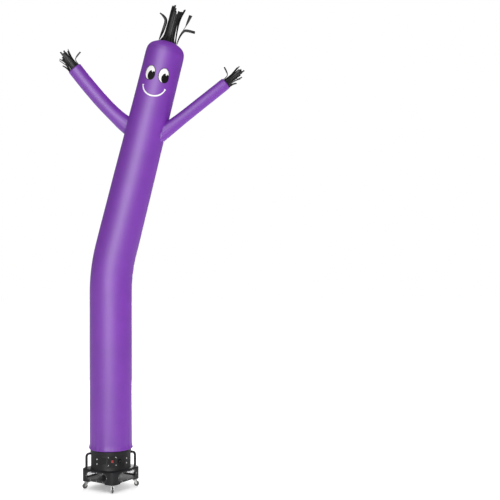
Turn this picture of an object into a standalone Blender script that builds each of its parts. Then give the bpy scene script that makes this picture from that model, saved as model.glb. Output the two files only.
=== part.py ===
"""Inflatable air dancer standing on its wheeled fan housing.

A tube of nylon cloth, closed over the head, with two hollow arms, a sewn-on face and tufts of cloth
strips, is drawn over the fan's outlet, and held there by a hook band above the lip.
Metres, +Z up. The origin is on the drum's axis, in the flat underside of the housing.
The face and the switch look towards -Y, and the head leans towards +X.
"""

import math

import bmesh
import bpy
from mathutils import Matrix, Vector

# Spaces and sheets
CLEAR = 0.0003  # kept between pieces that touch
CLOTH = 0.0015
FACETS = 40  # round a drum or the body tube
SMOOTH_ANGLE = math.radians(38)

# Fan housing, heights from its flat underside
FLOOR = -0.096
TURN = math.radians(4)  # the housing's front corner lies a little to the right of -Y
BASE_SIDE = 0.466
BASE_CORNER = 0.065
BASE_TOP = 0.125
BASE_EDGE = 0.012
PAD_DROP = 0.012
PAD_CHANNEL = 0.230
WALL = 0.005
FLOOR_SHEET = 0.006
DRUM_R = 0.2155
DRUM_TOP = 0.400
LIP_R = 0.222
LIP_LOW = 0.294
LIP_TOP = 0.327
BAND_TOP = 0.379
BAND_SHEET = 0.002
BOSS_SIZE = 0.098
BOSS_OUT = DRUM_R + 0.0005
SWITCH_HEIGHT = 0.229
RECESS_ANGLE = math.radians(47.5)  # moulded recesses and big screws, either side of the front
RECESS_SIZE = (0.030, 0.012)
RECESS_DEPTH = 0.0025
RECESS_HEIGHT = 0.166
BIG_SCREW_R = 0.0078
BIG_SCREW_OUT = 0.0028
BIG_SCREW_HEIGHTS = (0.193, 0.244)

# Air intake windows and their wire grilles
GRILLE_SIZE = (0.300, 0.098)
GRILLE_SHEET = 0.0025
GRILLE_RIM = 0.008
GRILLE_HEIGHT = 0.0585
MESH_PITCH = 0.0254
MESH_BAR = 0.004
MESH_ROWS = ((-1, 4), (0, 5), (1, 4))  # row, and how many holes lie either side of its middle one

# Outlet guard
GUARD_R = 0.223
GUARD_SHEET = 0.003
GUARD_SKIRT = 0.018
GUARD_BARS = 8
GUARD_BAR_TURN = math.radians(4.5)
GUARD_RINGS = ((0.034, 0.046), (0.078, 0.086), (0.118, 0.126), (0.158, 0.166), (0.198, 0.220))

# Handles
HANDLE_R = 0.0133
HANDLE_REACH = 0.2632
HANDLE_BEND = 0.033
HANDLE_HEIGHT = 0.280
HANDLE_SIDES = 12

# Switch, inlet and rating plate
PLATE_SIZE = 0.100
PLATE_SHEET = 0.003
SURROUND_SIZE = 0.050
SURROUND_OUT = 0.007
ROCKER_SIZE = (0.022, 0.026)
ROCKER_HOLE = (0.0232, 0.0280)
ROCKER_AXIS_OUT = 0.0036
ROCKER_TILT = math.radians(8)
INLET_ANGLE = math.radians(22.8)
INLET_HEIGHT = 0.224
INLET_R = 0.020
INLET_RECESS_R = 0.0145
INLET_OUT = 0.014
INLET_BACK = 0.004
RATING_ANGLE = math.radians(-26)
RATING_HEIGHT = 0.232
RATING_SIZE = (0.068, 0.066)

# Swivel casters, under the four corner pads
CASTER_RADIUS = 0.262
CASTER_PLATE = 0.052
CASTER_PLATE_SHEET = 0.0025
RACE_R = 0.019
RACE_DROP = 0.009
FORK_SHEET = 0.0025
FORK_TOP_R = 0.020
TRAIL = 0.019
WHEEL_R = 0.028
WHEEL_WIDTH = 0.021
WHEEL_FACETS = 24
WHEEL_EDGE = 0.003
AXLE_R = 0.0040
BORE_R = 0.0044
FORK_GAP = 0.0006  # either side of the wheel
CHEEK_R = 0.009
CASTERS = (  # name, where its corner lies, where its wheel trails, whether it has a brake
    ("right", 0, -22, False),
    ("back", 90, 118, False),
    ("left", 180, 205, True),
    ("front", 270, 264, True),
)
BRAKE_WIDTH = 0.0212
BRAKE_PIVOT = (-0.0130, -0.0085)  # across and up from the fork's top
BRAKE_OUTLINE = (  # as seen from the fork's side: the pedal's top, its tip, and the shoe near the tread
    (-0.0165, -0.0045),
    (-0.0290, -0.0040),
    (-0.0365, -0.0105),
    (-0.0352, -0.0128),
    (-0.0280, -0.0070),
    (-0.0175, -0.0080),
    (-0.0090, -0.0275),
    (-0.0050, -0.0262),
    (-0.0095, -0.0060),
)

# Body tube of the dancer
TUBE_R = 0.2285
HEAD_R = 0.2130
LEAN = math.radians(13.9)
BEND_HEIGHT = 2.270  # where the upright and the leaning axis would meet
BEND_R = 1.95
BEND_STEPS = 4
AXIS_LENGTH = 2.597  # from that point along the leaning axis to the top of the head
TAPER_FROM = 0.45
TAPER_TO = 2.30
VENT_R = 0.105
HEM = (  # height, radius, how far the cloth puckers in and out
    (0.3300, 0.2185, 0.0),
    (0.3325, 0.2300, 0.0008),
    (0.3385, 0.2367, 0.0016),
    (0.3500, 0.2350, 0.0014),
    (0.3660, 0.2315, 0.0008),
    (0.3850, 0.2292, 0.0),
    (0.4300, 0.2285, 0.0),
)
HEM_PUCKERS = 7
UPRIGHT_ROWS = (1.000, 1.560)
LEANING_ROWS = (0.75, 1.15, 1.45, 1.75, 2.05)
DOME = (  # drop below the top of the head, radius
    (0.290, 0.2130),
    (0.180, 0.2130),
    (0.125, 0.2105),
    (0.085, 0.2000),
    (0.055, 0.1780),
    (0.032, 0.1440),
    (0.014, VENT_R),
)

# Arms: each follows a curve from its hand to its root on the body tube, in a plane of its own
ARM_SIDES = 18
ARM_ROWS = 8
ARM_HOLE_INSET = 0.006
ARMS = (  # name, depth, hand, bend and root as (x, z), and the radius at hand, middle and root
    ("left", 0.070, (-0.393, 4.485), (-0.047, 4.041), (0.170, 3.880), (0.078, 0.080, 0.096)),
    ("right", -0.070, (1.2545, 4.336), (0.931, 4.070), (0.600, 3.804), (0.066, 0.0675, 0.080)),
)

# Face, as turns about the head's axis and distances below the top of the head
FACE_TURN = math.radians(-9.5)
EYE_TURN = math.radians(20.9)
EYE_DROP = 0.411
EYE_SIZE = (0.1125, 0.158)
PUPIL_SHIFT = (0.0207, 0.0255)
PUPIL_SIZE = (0.082, 0.109)
PUPIL_TILT = math.radians(-6)
GLINT_TURN = math.radians(88)  # a notch in the pupil, where the white shows through
GLINT_WIDTH = math.radians(44)
GLINT_DEPTH = 0.50
OVAL_POINTS = 24
MOUTH_TURN = math.radians(-9.4)
MOUTH_DROP = 0.523
MOUTH_R = 0.132
MOUTH_SWEEP = math.radians(79)
MOUTH_WIDTH = 0.0160
MOUTH_END_WIDTH = 0.0135
PATCH_LIFT = 0.0008
PATCH_SHEET = 0.0010

# Strips of cloth: a row for each strip, with its place round the backing ring and its twist in degrees,
# and then its sections as (height above the ring, distance out from the ring's wall, width)
STRIP_SHEET = 0.002
HAIR_RING_R = 0.1036
HAIR_RING_DEPTH = 0.016
HAIR_RING_RISE = 0.003
HAIR_STRIPS = (
    (0, 90, ((0.070, 0.006, 0.013), (0.150, 0.024, 0.024), (0.184, 0.052, 0.030), (0.193, 0.160, 0.030))),
    (30, 0, ((0.070, -0.016, 0.034), (0.190, -0.024, 0.034), (0.310, -0.022, 0.032), (0.392, 0.000, 0.024))),
    (60, 0, ((0.070, -0.026, 0.034), (0.200, -0.040, 0.030), (0.300, -0.040, 0.030), (0.375, -0.016, 0.024))),
    (90, 0, ((0.070, -0.034, 0.034), (0.200, -0.048, 0.030), (0.310, -0.052, 0.030), (0.365, -0.050, 0.020))),
    (120, 0, ((0.070, -0.034, 0.034), (0.200, -0.040, 0.030), (0.320, -0.044, 0.030), (0.405, -0.048, 0.024))),
    (150, 0, ((0.070, -0.040, 0.034), (0.200, -0.052, 0.030), (0.320, -0.060, 0.030), (0.417, -0.066, 0.026))),
    (180, 90, ((0.060, -0.012, 0.030), (0.150, -0.022, 0.032), (0.240, -0.022, 0.034), (0.278, 0.014, 0.028),
               (0.300, 0.060, 0.014))),
    (210, 0, ((0.070, -0.040, 0.034), (0.200, -0.046, 0.032), (0.320, -0.050, 0.032), (0.410, -0.056, 0.026))),
    (240, 0, ((0.070, -0.034, 0.034), (0.200, -0.048, 0.030), (0.320, -0.056, 0.030), (0.420, -0.058, 0.022))),
    (270, 0, ((0.070, -0.034, 0.034), (0.200, -0.040, 0.032), (0.310, -0.040, 0.032), (0.350, -0.036, 0.022))),
    (300, 0, ((0.070, -0.024, 0.034), (0.200, -0.036, 0.032), (0.310, -0.030, 0.032), (0.395, -0.004, 0.028))),
    (335, 90, ((0.110, 0.018, 0.008), (0.205, 0.056, 0.008), (0.262, 0.070, 0.026), (0.345, 0.084, 0.042))),
)
HAND_RING_DEPTH = 0.014
HAND_RING_INSET = 0.032
HAND_STRIPS = (  # 90 is the hand's upper side
    (18, 0, ((0.045, -0.016, 0.024), (0.130, -0.020, 0.024), (0.210, -0.020, 0.024), (0.282, -0.012, 0.018))),
    (54, 0, ((0.045, -0.016, 0.024), (0.130, -0.018, 0.024), (0.190, -0.008, 0.024), (0.262, 0.008, 0.016))),
    (90, 90, ((0.055, -0.012, 0.009), (0.108, -0.002, 0.009), (0.126, 0.040, 0.017), (0.138, 0.088, 0.016))),
    (126, 0, ((0.045, -0.016, 0.024), (0.130, -0.020, 0.024), (0.200, -0.014, 0.024), (0.268, -0.002, 0.016))),
    (162, 0, ((0.045, -0.016, 0.024), (0.130, -0.022, 0.022), (0.200, -0.020, 0.022), (0.246, -0.016, 0.014))),
    (198, 0, ((0.045, -0.014, 0.024), (0.120, -0.018, 0.024), (0.180, -0.010, 0.022), (0.238, 0.012, 0.014))),
    (234, 0, ((0.045, -0.012, 0.024), (0.110, -0.014, 0.022), (0.160, -0.002, 0.018), (0.212, 0.020, 0.010))),
    (270, 0, ((0.040, -0.010, 0.022), (0.080, -0.010, 0.020), (0.110, -0.002, 0.014), (0.130, 0.010, 0.008))),
    (306, 0, ((0.045, -0.014, 0.024), (0.120, -0.018, 0.022), (0.170, -0.006, 0.018), (0.205, 0.012, 0.010))),
    (342, 0, ((0.045, -0.016, 0.024), (0.130, -0.022, 0.022), (0.200, -0.022, 0.022), (0.300, -0.020, 0.016))),
)

# Colours, linear, with roughness and metallic value
FINISHES = {
    "purple_nylon": ((0.223, 0.032, 0.430), 0.45, 0.0),
    "black_nylon": ((0.012, 0.012, 0.013), 0.50, 0.0),
    "white_nylon": ((0.860, 0.860, 0.860), 0.50, 0.0),
    "black_plastic": ((0.028, 0.028, 0.029), 0.62, 0.0),
    "gloss_plastic": ((0.008, 0.008, 0.009), 0.22, 0.0),
    "hook_tape": ((0.016, 0.015, 0.022), 0.85, 0.0),
    "black_steel": ((0.020, 0.020, 0.021), 0.40, 0.6),
    "zinc": ((0.560, 0.560, 0.550), 0.32, 1.0),
    "grey_wheel": ((0.170, 0.170, 0.168), 0.50, 0.0),
    "red_rocker": ((0.560, 0.010, 0.018), 0.28, 0.0),
}


def clear_scene():
    for item in list(bpy.data.objects):
        bpy.data.objects.remove(item, do_unlink=True)


def finish(name):
    """The Principled material of this name, made once."""
    if name in bpy.data.materials:
        return bpy.data.materials[name]
    colour, roughness, metallic = FINISHES[name]
    made = bpy.data.materials.new(name)
    made.use_nodes = True
    shader = made.node_tree.nodes["Principled BSDF"]
    shader.inputs["Base Color"].default_value = (*colour, 1.0)
    shader.inputs["Roughness"].default_value = roughness
    shader.inputs["Metallic"].default_value = metallic
    return made


def to_mesh(bm, name):
    """A smooth-shaded mesh from a closed bmesh, with its faces turned outwards."""
    bmesh.ops.remove_doubles(bm, verts=bm.verts, dist=1e-6)
    bmesh.ops.recalc_face_normals(bm, faces=bm.faces)
    mesh = bpy.data.meshes.new(name)
    bm.to_mesh(mesh)
    bm.free()
    mesh.shade_smooth()
    mesh.set_sharp_from_angle(angle=SMOOTH_ANGLE)
    return mesh


def place(name, mesh, surface, parent=None, at=(0, 0, 0), turn=0.0):
    """A named object that wears one material, where the piece sits."""
    item = bpy.data.objects.new(name, mesh)
    bpy.context.collection.objects.link(item)
    if not mesh.materials:
        mesh.materials.append(finish(surface))
    item.parent = parent
    item.location = at
    item.rotation_euler = (0, 0, turn)
    return item


def empty(name, parent=None, at=(0, 0, 0), turn=0.0):
    return place_empty(bpy.data.objects.new(name, None), parent, at, turn)


def place_empty(item, parent, at, turn):
    bpy.context.collection.objects.link(item)
    item.parent = parent
    item.location = at
    item.rotation_euler = (0, 0, turn)
    return item


def shaped(name, body, added=(), cut=()):
    """The mesh of a body with other meshes fused to it and then cut from it."""
    base = bpy.data.objects.new(name, body)
    bpy.context.collection.objects.link(base)
    tools = []
    for operation, meshes in (("UNION", added), ("DIFFERENCE", cut)):
        for mesh in meshes:
            tool = bpy.data.objects.new(name + "_tool", mesh)
            bpy.context.collection.objects.link(tool)
            tool.hide_render = True
            tool.display_type = "WIRE"
            step = base.modifiers.new(operation, "BOOLEAN")
            step.operation = operation
            step.solver = "EXACT"
            step.object = tool
            tools.append(tool)
    evaluated = base.evaluated_get(bpy.context.evaluated_depsgraph_get())
    result = bpy.data.meshes.new_from_object(evaluated)
    result.materials.clear()
    for item in (base, *tools):
        bpy.data.objects.remove(item, do_unlink=True)
    bm = bmesh.new()
    bm.from_mesh(result)
    bmesh.ops.dissolve_limit(
        bm, angle_limit=math.radians(0.2), verts=bm.verts, edges=bm.edges
    )
    return to_mesh(bm, name)


def skin(bm, rings, closed=False, caps=True):
    """Walls through rings of points with as many points each. A closed run joins its last ring to its first."""
    made = [[bm.verts.new(point) for point in ring] for ring in rings]
    runs = list(zip(made, made[1:]))
    if closed:
        runs.append((made[-1], made[0]))
    for low, high in runs:
        for i in range(len(low)):
            j = (i + 1) % len(low)
            bm.faces.new((low[i], low[j], high[j], high[i]))
    if caps and not closed:
        bm.faces.new(made[0])
        bm.faces.new(made[-1])


def turned(name, profile, facets, axis_points=False):
    """A solid of revolution about Z. The profile lists (radius, height), and is closed back to its start,
    through the axis if its ends lie on it."""
    bm = bmesh.new()
    points = [bm.verts.new((radius, 0, height)) for radius, height in profile]
    edges = [bm.edges.new(pair) for pair in zip(points, points[1:])]
    if not axis_points:
        edges.append(bm.edges.new((points[-1], points[0])))
    bmesh.ops.spin(
        bm, geom=points + edges, cent=(0, 0, 0), axis=(0, 0, 1), angle=math.tau, steps=facets, use_merge=True
    )
    return to_mesh(bm, name)


def prism(name, outline, low, high, axes=((1, 0, 0), (0, 1, 0), (0, 0, 1)), centre=(0, 0, 0)):
    """An outline of (across, along) points, carried from low to high on the third axis."""
    across, along, up = (Vector(a) for a in axes)
    middle = Vector(centre)
    bm = bmesh.new()
    skin(bm, [[middle + across * a + along * b + up * h for a, b in outline] for h in (low, high)])
    return to_mesh(bm, name)


def box_outline(width, height):
    return [(sx * width / 2, sy * height / 2) for sx, sy in ((-1, -1), (1, -1), (1, 1), (-1, 1))]


def rounded_outline(width, height, radius, steps):
    """A rectangle with round corners, or a stadium where the radius is half its height."""
    points = []
    for quarter, (sx, sy) in enumerate(((1, 1), (-1, 1), (-1, -1), (1, -1))):
        for step in range(steps + 1):
            angle = math.pi / 2 * (quarter + step / steps)
            points.append((
                sx * (width / 2 - radius) + radius * math.cos(angle),
                sy * (height / 2 - radius) + radius * math.sin(angle),
            ))
    return points


def turned_outline(outline, angle):
    c, s = math.cos(angle), math.sin(angle)
    return [(c * a - s * b, s * a + c * b) for a, b in outline]


def outward(angle):
    """The level direction that lies this far round from the front, towards +X."""
    return Vector((math.sin(angle), -math.cos(angle), 0))


def side_axes(angle):
    """Across, up and outward, for a flat piece on the housing's wall."""
    out = outward(angle)
    return Vector((0, 0, 1)).cross(out), Vector((0, 0, 1)), out


def base_prism(name, inset, low, high, edge=0.0):
    """The rounded square base, its corners on the axes, with its walls moved in and its top edge eased."""
    side = BASE_SIDE - 2 * inset
    outline = turned_outline(rounded_outline(side, side, BASE_CORNER - inset, 5), math.pi / 4)
    if not edge:
        return prism(name, outline, low, high)
    bm = bmesh.new()
    rings = [[Vector((a, b, h)) for a, b in outline] for h in (low, high - edge)]
    for turn in (math.radians(45), math.radians(90)):
        scale = 1 - edge * (1 - math.cos(turn)) / (BASE_SIDE / 2)
        level = high - edge + edge * math.sin(turn)
        rings.append([Vector((a * scale, b * scale, level)) for a, b in outline])
    skin(bm, rings)
    return to_mesh(bm, name)


def make_housing(blower):
    """Moulded in one piece: the square base with four windows and four corner pads, the drum and its lip."""
    body = base_prism("base", 0, -PAD_DROP, BASE_TOP, BASE_EDGE)
    drum = turned("drum", (
        (0, BASE_TOP - 0.030),
        (DRUM_R + 0.004, BASE_TOP - 0.030),
        (DRUM_R + 0.004, BASE_TOP + 0.001),
        (DRUM_R, BASE_TOP + 0.007),
        (DRUM_R, LIP_LOW),
        (LIP_R - 0.002, LIP_LOW),
        (LIP_R, LIP_LOW + 0.002),
        (LIP_R, LIP_TOP - 0.002),
        (LIP_R - 0.002, LIP_TOP),
        (DRUM_R, LIP_TOP),
        (DRUM_R, DRUM_TOP),
        (0, DRUM_TOP),
    ), FACETS, axis_points=True)
    boss = prism(
        "boss", box_outline(BOSS_SIZE, BOSS_SIZE), DRUM_R - 0.030, BOSS_OUT, side_axes(0), (0, 0, SWITCH_HEIGHT)
    )
    cuts = [
        base_prism("chamber", WALL, FLOOR_SHEET, BASE_TOP - WALL),
        turned("duct", (
            (0, BASE_TOP / 2), (DRUM_R - WALL, BASE_TOP / 2), (DRUM_R - WALL, DRUM_TOP + WALL), (0, DRUM_TOP + WALL)
        ), FACETS, axis_points=True),
    ]
    channel = box_outline(PAD_CHANNEL, BASE_SIDE * 1.5)
    for quarter in (1, 3):
        cuts.append(prism(
            "channel", turned_outline(channel, quarter * math.pi / 4), -2 * PAD_DROP, 0
        ))
    window = rounded_outline(
        GRILLE_SIZE[0] - 2 * GRILLE_RIM, GRILLE_SIZE[1] - 2 * GRILLE_RIM, GRILLE_SIZE[1] / 2 - GRILLE_RIM, 5
    )
    for quarter in (1, 3, 5, 7):
        cuts.append(prism(
            "window", window, BASE_SIDE / 2 - 3 * WALL, BASE_SIDE / 2 + WALL,
            side_axes(quarter * math.pi / 4), (0, 0, GRILLE_HEIGHT),
        ))
    for angle in (-RECESS_ANGLE, RECESS_ANGLE):
        cuts.append(prism(
            "recess", box_outline(*RECESS_SIZE), DRUM_R - RECESS_DEPTH, DRUM_R + WALL,
            side_axes(angle), (0, 0, RECESS_HEIGHT),
        ))
    place("housing", shaped("housing", body, [drum, boss], cuts), "black_plastic", blower)


def make_grilles(blower):
    """A pressed frame with wire mesh over each window, held by screws round its rim."""
    plate = prism(
        "grille", rounded_outline(*GRILLE_SIZE, GRILLE_SIZE[1] / 2, 5), 0, GRILLE_SHEET,
        ((1, 0, 0), (0, 0, 1), (0, -1, 0)),
    )
    bm = bmesh.new()
    hole = MESH_PITCH - MESH_BAR
    for row, reach in MESH_ROWS:
        for column in range(-reach, reach + 1):
            across, up = column * MESH_PITCH, row * MESH_PITCH
            outline = [(across + a, up + b) for a, b in box_outline(hole, hole)]
            skin(bm, [[Vector((a, depth, b)) for a, b in outline] for depth in (GRILLE_SHEET, -2 * GRILLE_SHEET)])
    mesh = shaped("grille", plate, cut=[to_mesh(bm, "mesh_holes")])
    for name, quarter in (("front_right", 1), ("back_right", 3), ("back_left", 5), ("front_left", 7)):
        angle = quarter * math.pi / 4
        spot = outward(angle) * (BASE_SIDE / 2 + CLEAR) + Vector((0, 0, GRILLE_HEIGHT))
        place("grille_" + name, mesh, "black_steel", blower, spot, angle)


def make_guard(blower):
    """The outlet guard: a rim with a skirt over the drum's top, rings of wire and eight bars, in one piece."""
    turns = []
    for bar in range(GUARD_BARS):
        middle = bar * math.tau / GUARD_BARS
        turns += [middle - GUARD_BAR_TURN / 2, middle + GUARD_BAR_TURN / 2]
        gap = math.tau / GUARD_BARS - GUARD_BAR_TURN
        turns += [middle + GUARD_BAR_TURN / 2 + gap * share / 3 for share in (1, 2)]
    radii = [radius for pair in GUARD_RINGS for radius in pair] + [GUARD_R]
    low = DRUM_TOP + CLEAR
    bm = bmesh.new()
    grid = [[bm.verts.new((r * math.cos(t), r * math.sin(t), low + GUARD_SHEET)) for t in turns] for r in radii]
    per_bar = len(turns) // GUARD_BARS
    kept = []
    for band in range(len(radii) - 1):
        for i in range(len(turns)):
            j = (i + 1) % len(turns)
            open_band = band % 2 == 1 and band < len(radii) - 2
            if open_band and i % per_bar != 0:
                continue
            kept.append(bm.faces.new((grid[band][i], grid[band + 1][i], grid[band + 1][j], grid[band][j])))
    made = bmesh.ops.extrude_face_region(bm, geom=kept, use_keep_orig=True)["geom"]
    bmesh.ops.translate(bm, verts=[g for g in made if isinstance(g, bmesh.types.BMVert)], vec=(0, 0, -GUARD_SHEET))
    bm.normal_update()
    rim = [
        g for g in made
        if isinstance(g, bmesh.types.BMFace) and g.calc_center_median().xy.length > GUARD_RINGS[-1][1]
    ]
    made = bmesh.ops.extrude_face_region(bm, geom=rim)["geom"]
    bmesh.ops.translate(bm, verts=[g for g in made if isinstance(g, bmesh.types.BMVert)], vec=(0, 0, -GUARD_SKIRT))
    bmesh.ops.delete(bm, geom=rim, context="FACES")
    place("outlet_guard", to_mesh(bm, "outlet_guard"), "black_steel", blower)


def make_band(blower):
    """The strap of hook tape round the drum, above the lip, which the tube's hem grips."""
    inner = DRUM_R + CLEAR
    outer = inner + BAND_SHEET
    low = LIP_TOP + CLEAR
    mesh = turned("hook_band", ((inner, low), (outer, low), (outer, BAND_TOP), (inner, BAND_TOP)), FACETS)
    place("hook_band", mesh, "hook_tape", blower)


def make_handles(blower):
    """A round bar from the drum, under the lip, out and down to the base's top."""
    for name, turn in (("right", 0.0), ("left", math.pi)):
        corner = Vector((HANDLE_REACH - HANDLE_BEND, 0, HANDLE_HEIGHT - HANDLE_BEND))
        stops = [(Vector((DRUM_R, 0, HANDLE_HEIGHT)), 0.0)]
        stops += [
            (corner + Vector((math.sin(t), 0, math.cos(t))) * HANDLE_BEND, t)
            for t in (math.radians(degrees) for degrees in (0, 22.5, 45, 67.5, 90))
        ]
        stops.append((Vector((HANDLE_REACH, 0, BASE_TOP + CLEAR)), math.pi / 2))
        rings = []
        for centre, t in stops:
            radial = Vector((math.sin(t), 0, math.cos(t)))
            angles = [math.tau * k / HANDLE_SIDES for k in range(HANDLE_SIDES)]
            rings.append([centre + (radial * math.cos(a) + Vector((0, 1, 0)) * math.sin(a)) * HANDLE_R for a in angles])
        for point in rings[0]:
            point.x = math.sqrt((DRUM_R + CLEAR) ** 2 - point.y ** 2)
        bm = bmesh.new()
        skin(bm, rings)
        place("handle_" + name, to_mesh(bm, "handle_" + name), "black_plastic", blower, turn=turn)


def make_switch(blower):
    """A square cover plate with a raised surround, and a red rocker tilted to one side in it."""
    plate_back = BOSS_OUT + CLEAR
    plate = prism(
        "switch_plate", rounded_outline(PLATE_SIZE, PLATE_SIZE, 0.005, 2), 0, PLATE_SHEET, side_axes(0)
    )
    place("switch_plate", plate, "gloss_plastic", blower, (0, -plate_back, SWITCH_HEIGHT))
    front = plate_back + PLATE_SHEET
    surround = prism(
        "switch_surround", rounded_outline(SURROUND_SIZE, SURROUND_SIZE, 0.006, 2), 0, SURROUND_OUT, side_axes(0)
    )
    hole = prism("hole", box_outline(*ROCKER_HOLE), -SURROUND_OUT, 2 * SURROUND_OUT, side_axes(0))
    mesh = shaped("switch_surround", surround, cut=[hole])
    place("switch_surround", mesh, "gloss_plastic", blower, (0, -front - CLEAR, SWITCH_HEIGHT))
    half = ROCKER_SIZE[1] / 2
    section = ((-half, -0.0010), (0, -0.0026), (half, -0.0010), (half, 0.0028), (0, 0.0012), (-half, 0.0028))
    c, s = math.cos(ROCKER_TILT), math.sin(ROCKER_TILT)
    tilted = [(c * up + s * out, c * out - s * up) for up, out in section]
    up_axis, out_axis = Vector((0, 0, 1)), outward(0)
    bm = bmesh.new()
    skin(bm, [
        [Vector((across, 0, 0)) + up_axis * up + out_axis * out for up, out in tilted]
        for across in (-ROCKER_SIZE[0] / 2, ROCKER_SIZE[0] / 2)
    ])
    spot = (0, -front - ROCKER_AXIS_OUT, SWITCH_HEIGHT)
    place("rocker", to_mesh(bm, "rocker"), "red_rocker", blower, spot)


def make_inlet(blower):
    """The round mains inlet, a cup with a deep recess."""
    mesh = turned("power_inlet", (
        (0, 0),
        (INLET_R, 0),
        (INLET_R, INLET_OUT - 0.002),
        (INLET_R - 0.002, INLET_OUT),
        (INLET_RECESS_R, INLET_OUT),
        (INLET_RECESS_R, INLET_BACK),
        (0, INLET_BACK),
    ), 20, axis_points=True)
    out = outward(INLET_ANGLE)
    mesh.transform(out.to_track_quat("Z", "Y").to_matrix().to_4x4())
    spot = out * (DRUM_R + CLEAR) + Vector((0, 0, INLET_HEIGHT))
    place("power_inlet", mesh, "gloss_plastic", blower, spot)


def make_screws(blower):
    """Two big round-headed screws either side of the front, which hold the fan inside the drum."""
    mesh = turned("drum_screw", (
        (0, 0), (BIG_SCREW_R, 0), (BIG_SCREW_R, 0.0012), (BIG_SCREW_R * 0.6, BIG_SCREW_OUT), (0, BIG_SCREW_OUT)
    ), 12, axis_points=True)
    for side, angle in (("left", -RECESS_ANGLE), ("right", RECESS_ANGLE)):
        out = outward(angle)
        for level, height in zip(("low", "high"), BIG_SCREW_HEIGHTS):
            item = place(f"drum_screw_{side}_{level}", mesh, "zinc", blower)
            item.rotation_mode = "QUATERNION"
            item.rotation_quaternion = out.to_track_quat("Z", "Y")
            item.location = out * (DRUM_R + CLEAR) + Vector((0, 0, height))


def make_casters(blower):
    """A plate under each corner pad, a fork that swivels on it, and a wheel; two have a brake lever."""
    plate_top = -PAD_DROP - CLEAR
    plate = prism("caster_plate", rounded_outline(CASTER_PLATE, CASTER_PLATE, 0.006, 2), -CASTER_PLATE_SHEET, 0)
    race = turned("race", (
        (0, -RACE_DROP), (RACE_R - 0.003, -RACE_DROP), (RACE_R, -CASTER_PLATE_SHEET / 2), (0, -CASTER_PLATE_SHEET / 2)
    ), 16, axis_points=True)
    plate = shaped("caster_plate", plate, [race])
    fork_top = plate_top - RACE_DROP - CLEAR
    axle_height = FLOOR + WHEEL_R * math.cos(math.pi / WHEEL_FACETS)
    drop = fork_top - axle_height
    inside = WHEEL_WIDTH / 2 + FORK_GAP
    # The fork's own frame has its top at the origin, and the wheel trails along +X
    crown = prism("fork", [
        (FORK_TOP_R * math.cos(a), max(-inside - FORK_SHEET, min(inside + FORK_SHEET, FORK_TOP_R * math.sin(a))))
        for a in (math.tau * k / 16 for k in range(16))
    ], -FORK_SHEET, 0)
    cheek = [(-FORK_TOP_R * 0.85, 0), (-FORK_TOP_R * 0.85, -0.011)]
    cheek += [
        (TRAIL + CHEEK_R * math.cos(a), -drop + CHEEK_R * math.sin(a))
        for a in (math.radians(degrees) for degrees in (215, 255, 295, 335, 375))
    ]
    cheek += [(FORK_TOP_R * 0.90, -0.004), (FORK_TOP_R * 0.85, 0)]
    cheeks = [
        prism("cheek", cheek, low, low + FORK_SHEET, ((1, 0, 0), (0, 0, 1), (0, 1, 0)))
        for low in (-inside - FORK_SHEET, inside)
    ]
    axle = prism("axle", [
        (TRAIL + AXLE_R * math.cos(a), -drop + AXLE_R * math.sin(a)) for a in (math.tau * k / 12 for k in range(12))
    ], -inside - FORK_SHEET - 0.002, inside + FORK_SHEET + 0.002, ((1, 0, 0), (0, 0, 1), (0, 1, 0)))
    fork = shaped("fork", crown, [*cheeks, axle])
    wheel = make_wheel()
    brake = prism("brake", [
        (a - BRAKE_PIVOT[0], b - BRAKE_PIVOT[1]) for a, b in BRAKE_OUTLINE
    ], -BRAKE_WIDTH / 2, BRAKE_WIDTH / 2, ((1, 0, 0), (0, 0, 1), (0, 1, 0)))
    for name, corner, heading, braked in CASTERS:
        corner, heading = math.radians(corner), math.radians(heading)
        spot = Vector((math.cos(corner), math.sin(corner), 0)) * CASTER_RADIUS
        level = Vector((0, 0, plate_top))
        place("caster_plate_" + name, plate, "zinc", blower, spot + level, corner + math.pi / 4)
        swivel = empty("swivel_" + name, blower, spot + Vector((0, 0, fork_top)), heading)
        place("caster_fork_" + name, fork, "zinc", swivel)
        place("caster_wheel_" + name, wheel, "grey_wheel", swivel, (TRAIL, 0, -drop))
        if braked:
            spot = (BRAKE_PIVOT[0], 0, BRAKE_PIVOT[1])
            place("caster_brake_" + name, brake, "black_plastic", swivel, spot)


def make_wheel():
    """A wheel with its axle along Y and one flat facet down."""
    edge = WHEEL_WIDTH / 2
    mesh = turned("caster_wheel", (
        (BORE_R, -edge), (WHEEL_R - WHEEL_EDGE, -edge), (WHEEL_R, WHEEL_EDGE - edge),
        (WHEEL_R, edge - WHEEL_EDGE), (WHEEL_R - WHEEL_EDGE, edge), (BORE_R, edge),
    ), WHEEL_FACETS)
    mesh.transform(Matrix.Rotation(math.pi / WHEEL_FACETS, 4, "Z"))
    mesh.transform(Matrix.Rotation(math.pi / 2, 4, "X"))
    return mesh


def tube_frame(along):
    """Centre, across and up directions of the body tube. Along counts from the axis's bend point, so it is
    negative below the bend, and its last value is the top of the head."""
    reach = BEND_R * math.tan(LEAN / 2)
    start = BEND_HEIGHT - reach
    if along <= -reach:
        turn, centre = 0.0, Vector((0, 0, BEND_HEIGHT + along))
    elif along < reach:
        turn = (along + reach) / (2 * reach) * LEAN
        centre = Vector((BEND_R * (1 - math.cos(turn)), 0, start + BEND_R * math.sin(turn)))
    else:
        turn = LEAN
        centre = Vector((0, 0, BEND_HEIGHT)) + Vector((math.sin(LEAN), 0, math.cos(LEAN))) * along
    return centre, Vector((math.cos(turn), 0, -math.sin(turn))), Vector((math.sin(turn), 0, math.cos(turn)))


def tube_radius(along):
    """The outer radius above the hem and below the head's dome: the tube narrows slowly over its upper half."""
    share = min(1.0, max(0.0, (along - TAPER_FROM) / (TAPER_TO - TAPER_FROM)))
    return TUBE_R + (HEAD_R - TUBE_R) * share


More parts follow.
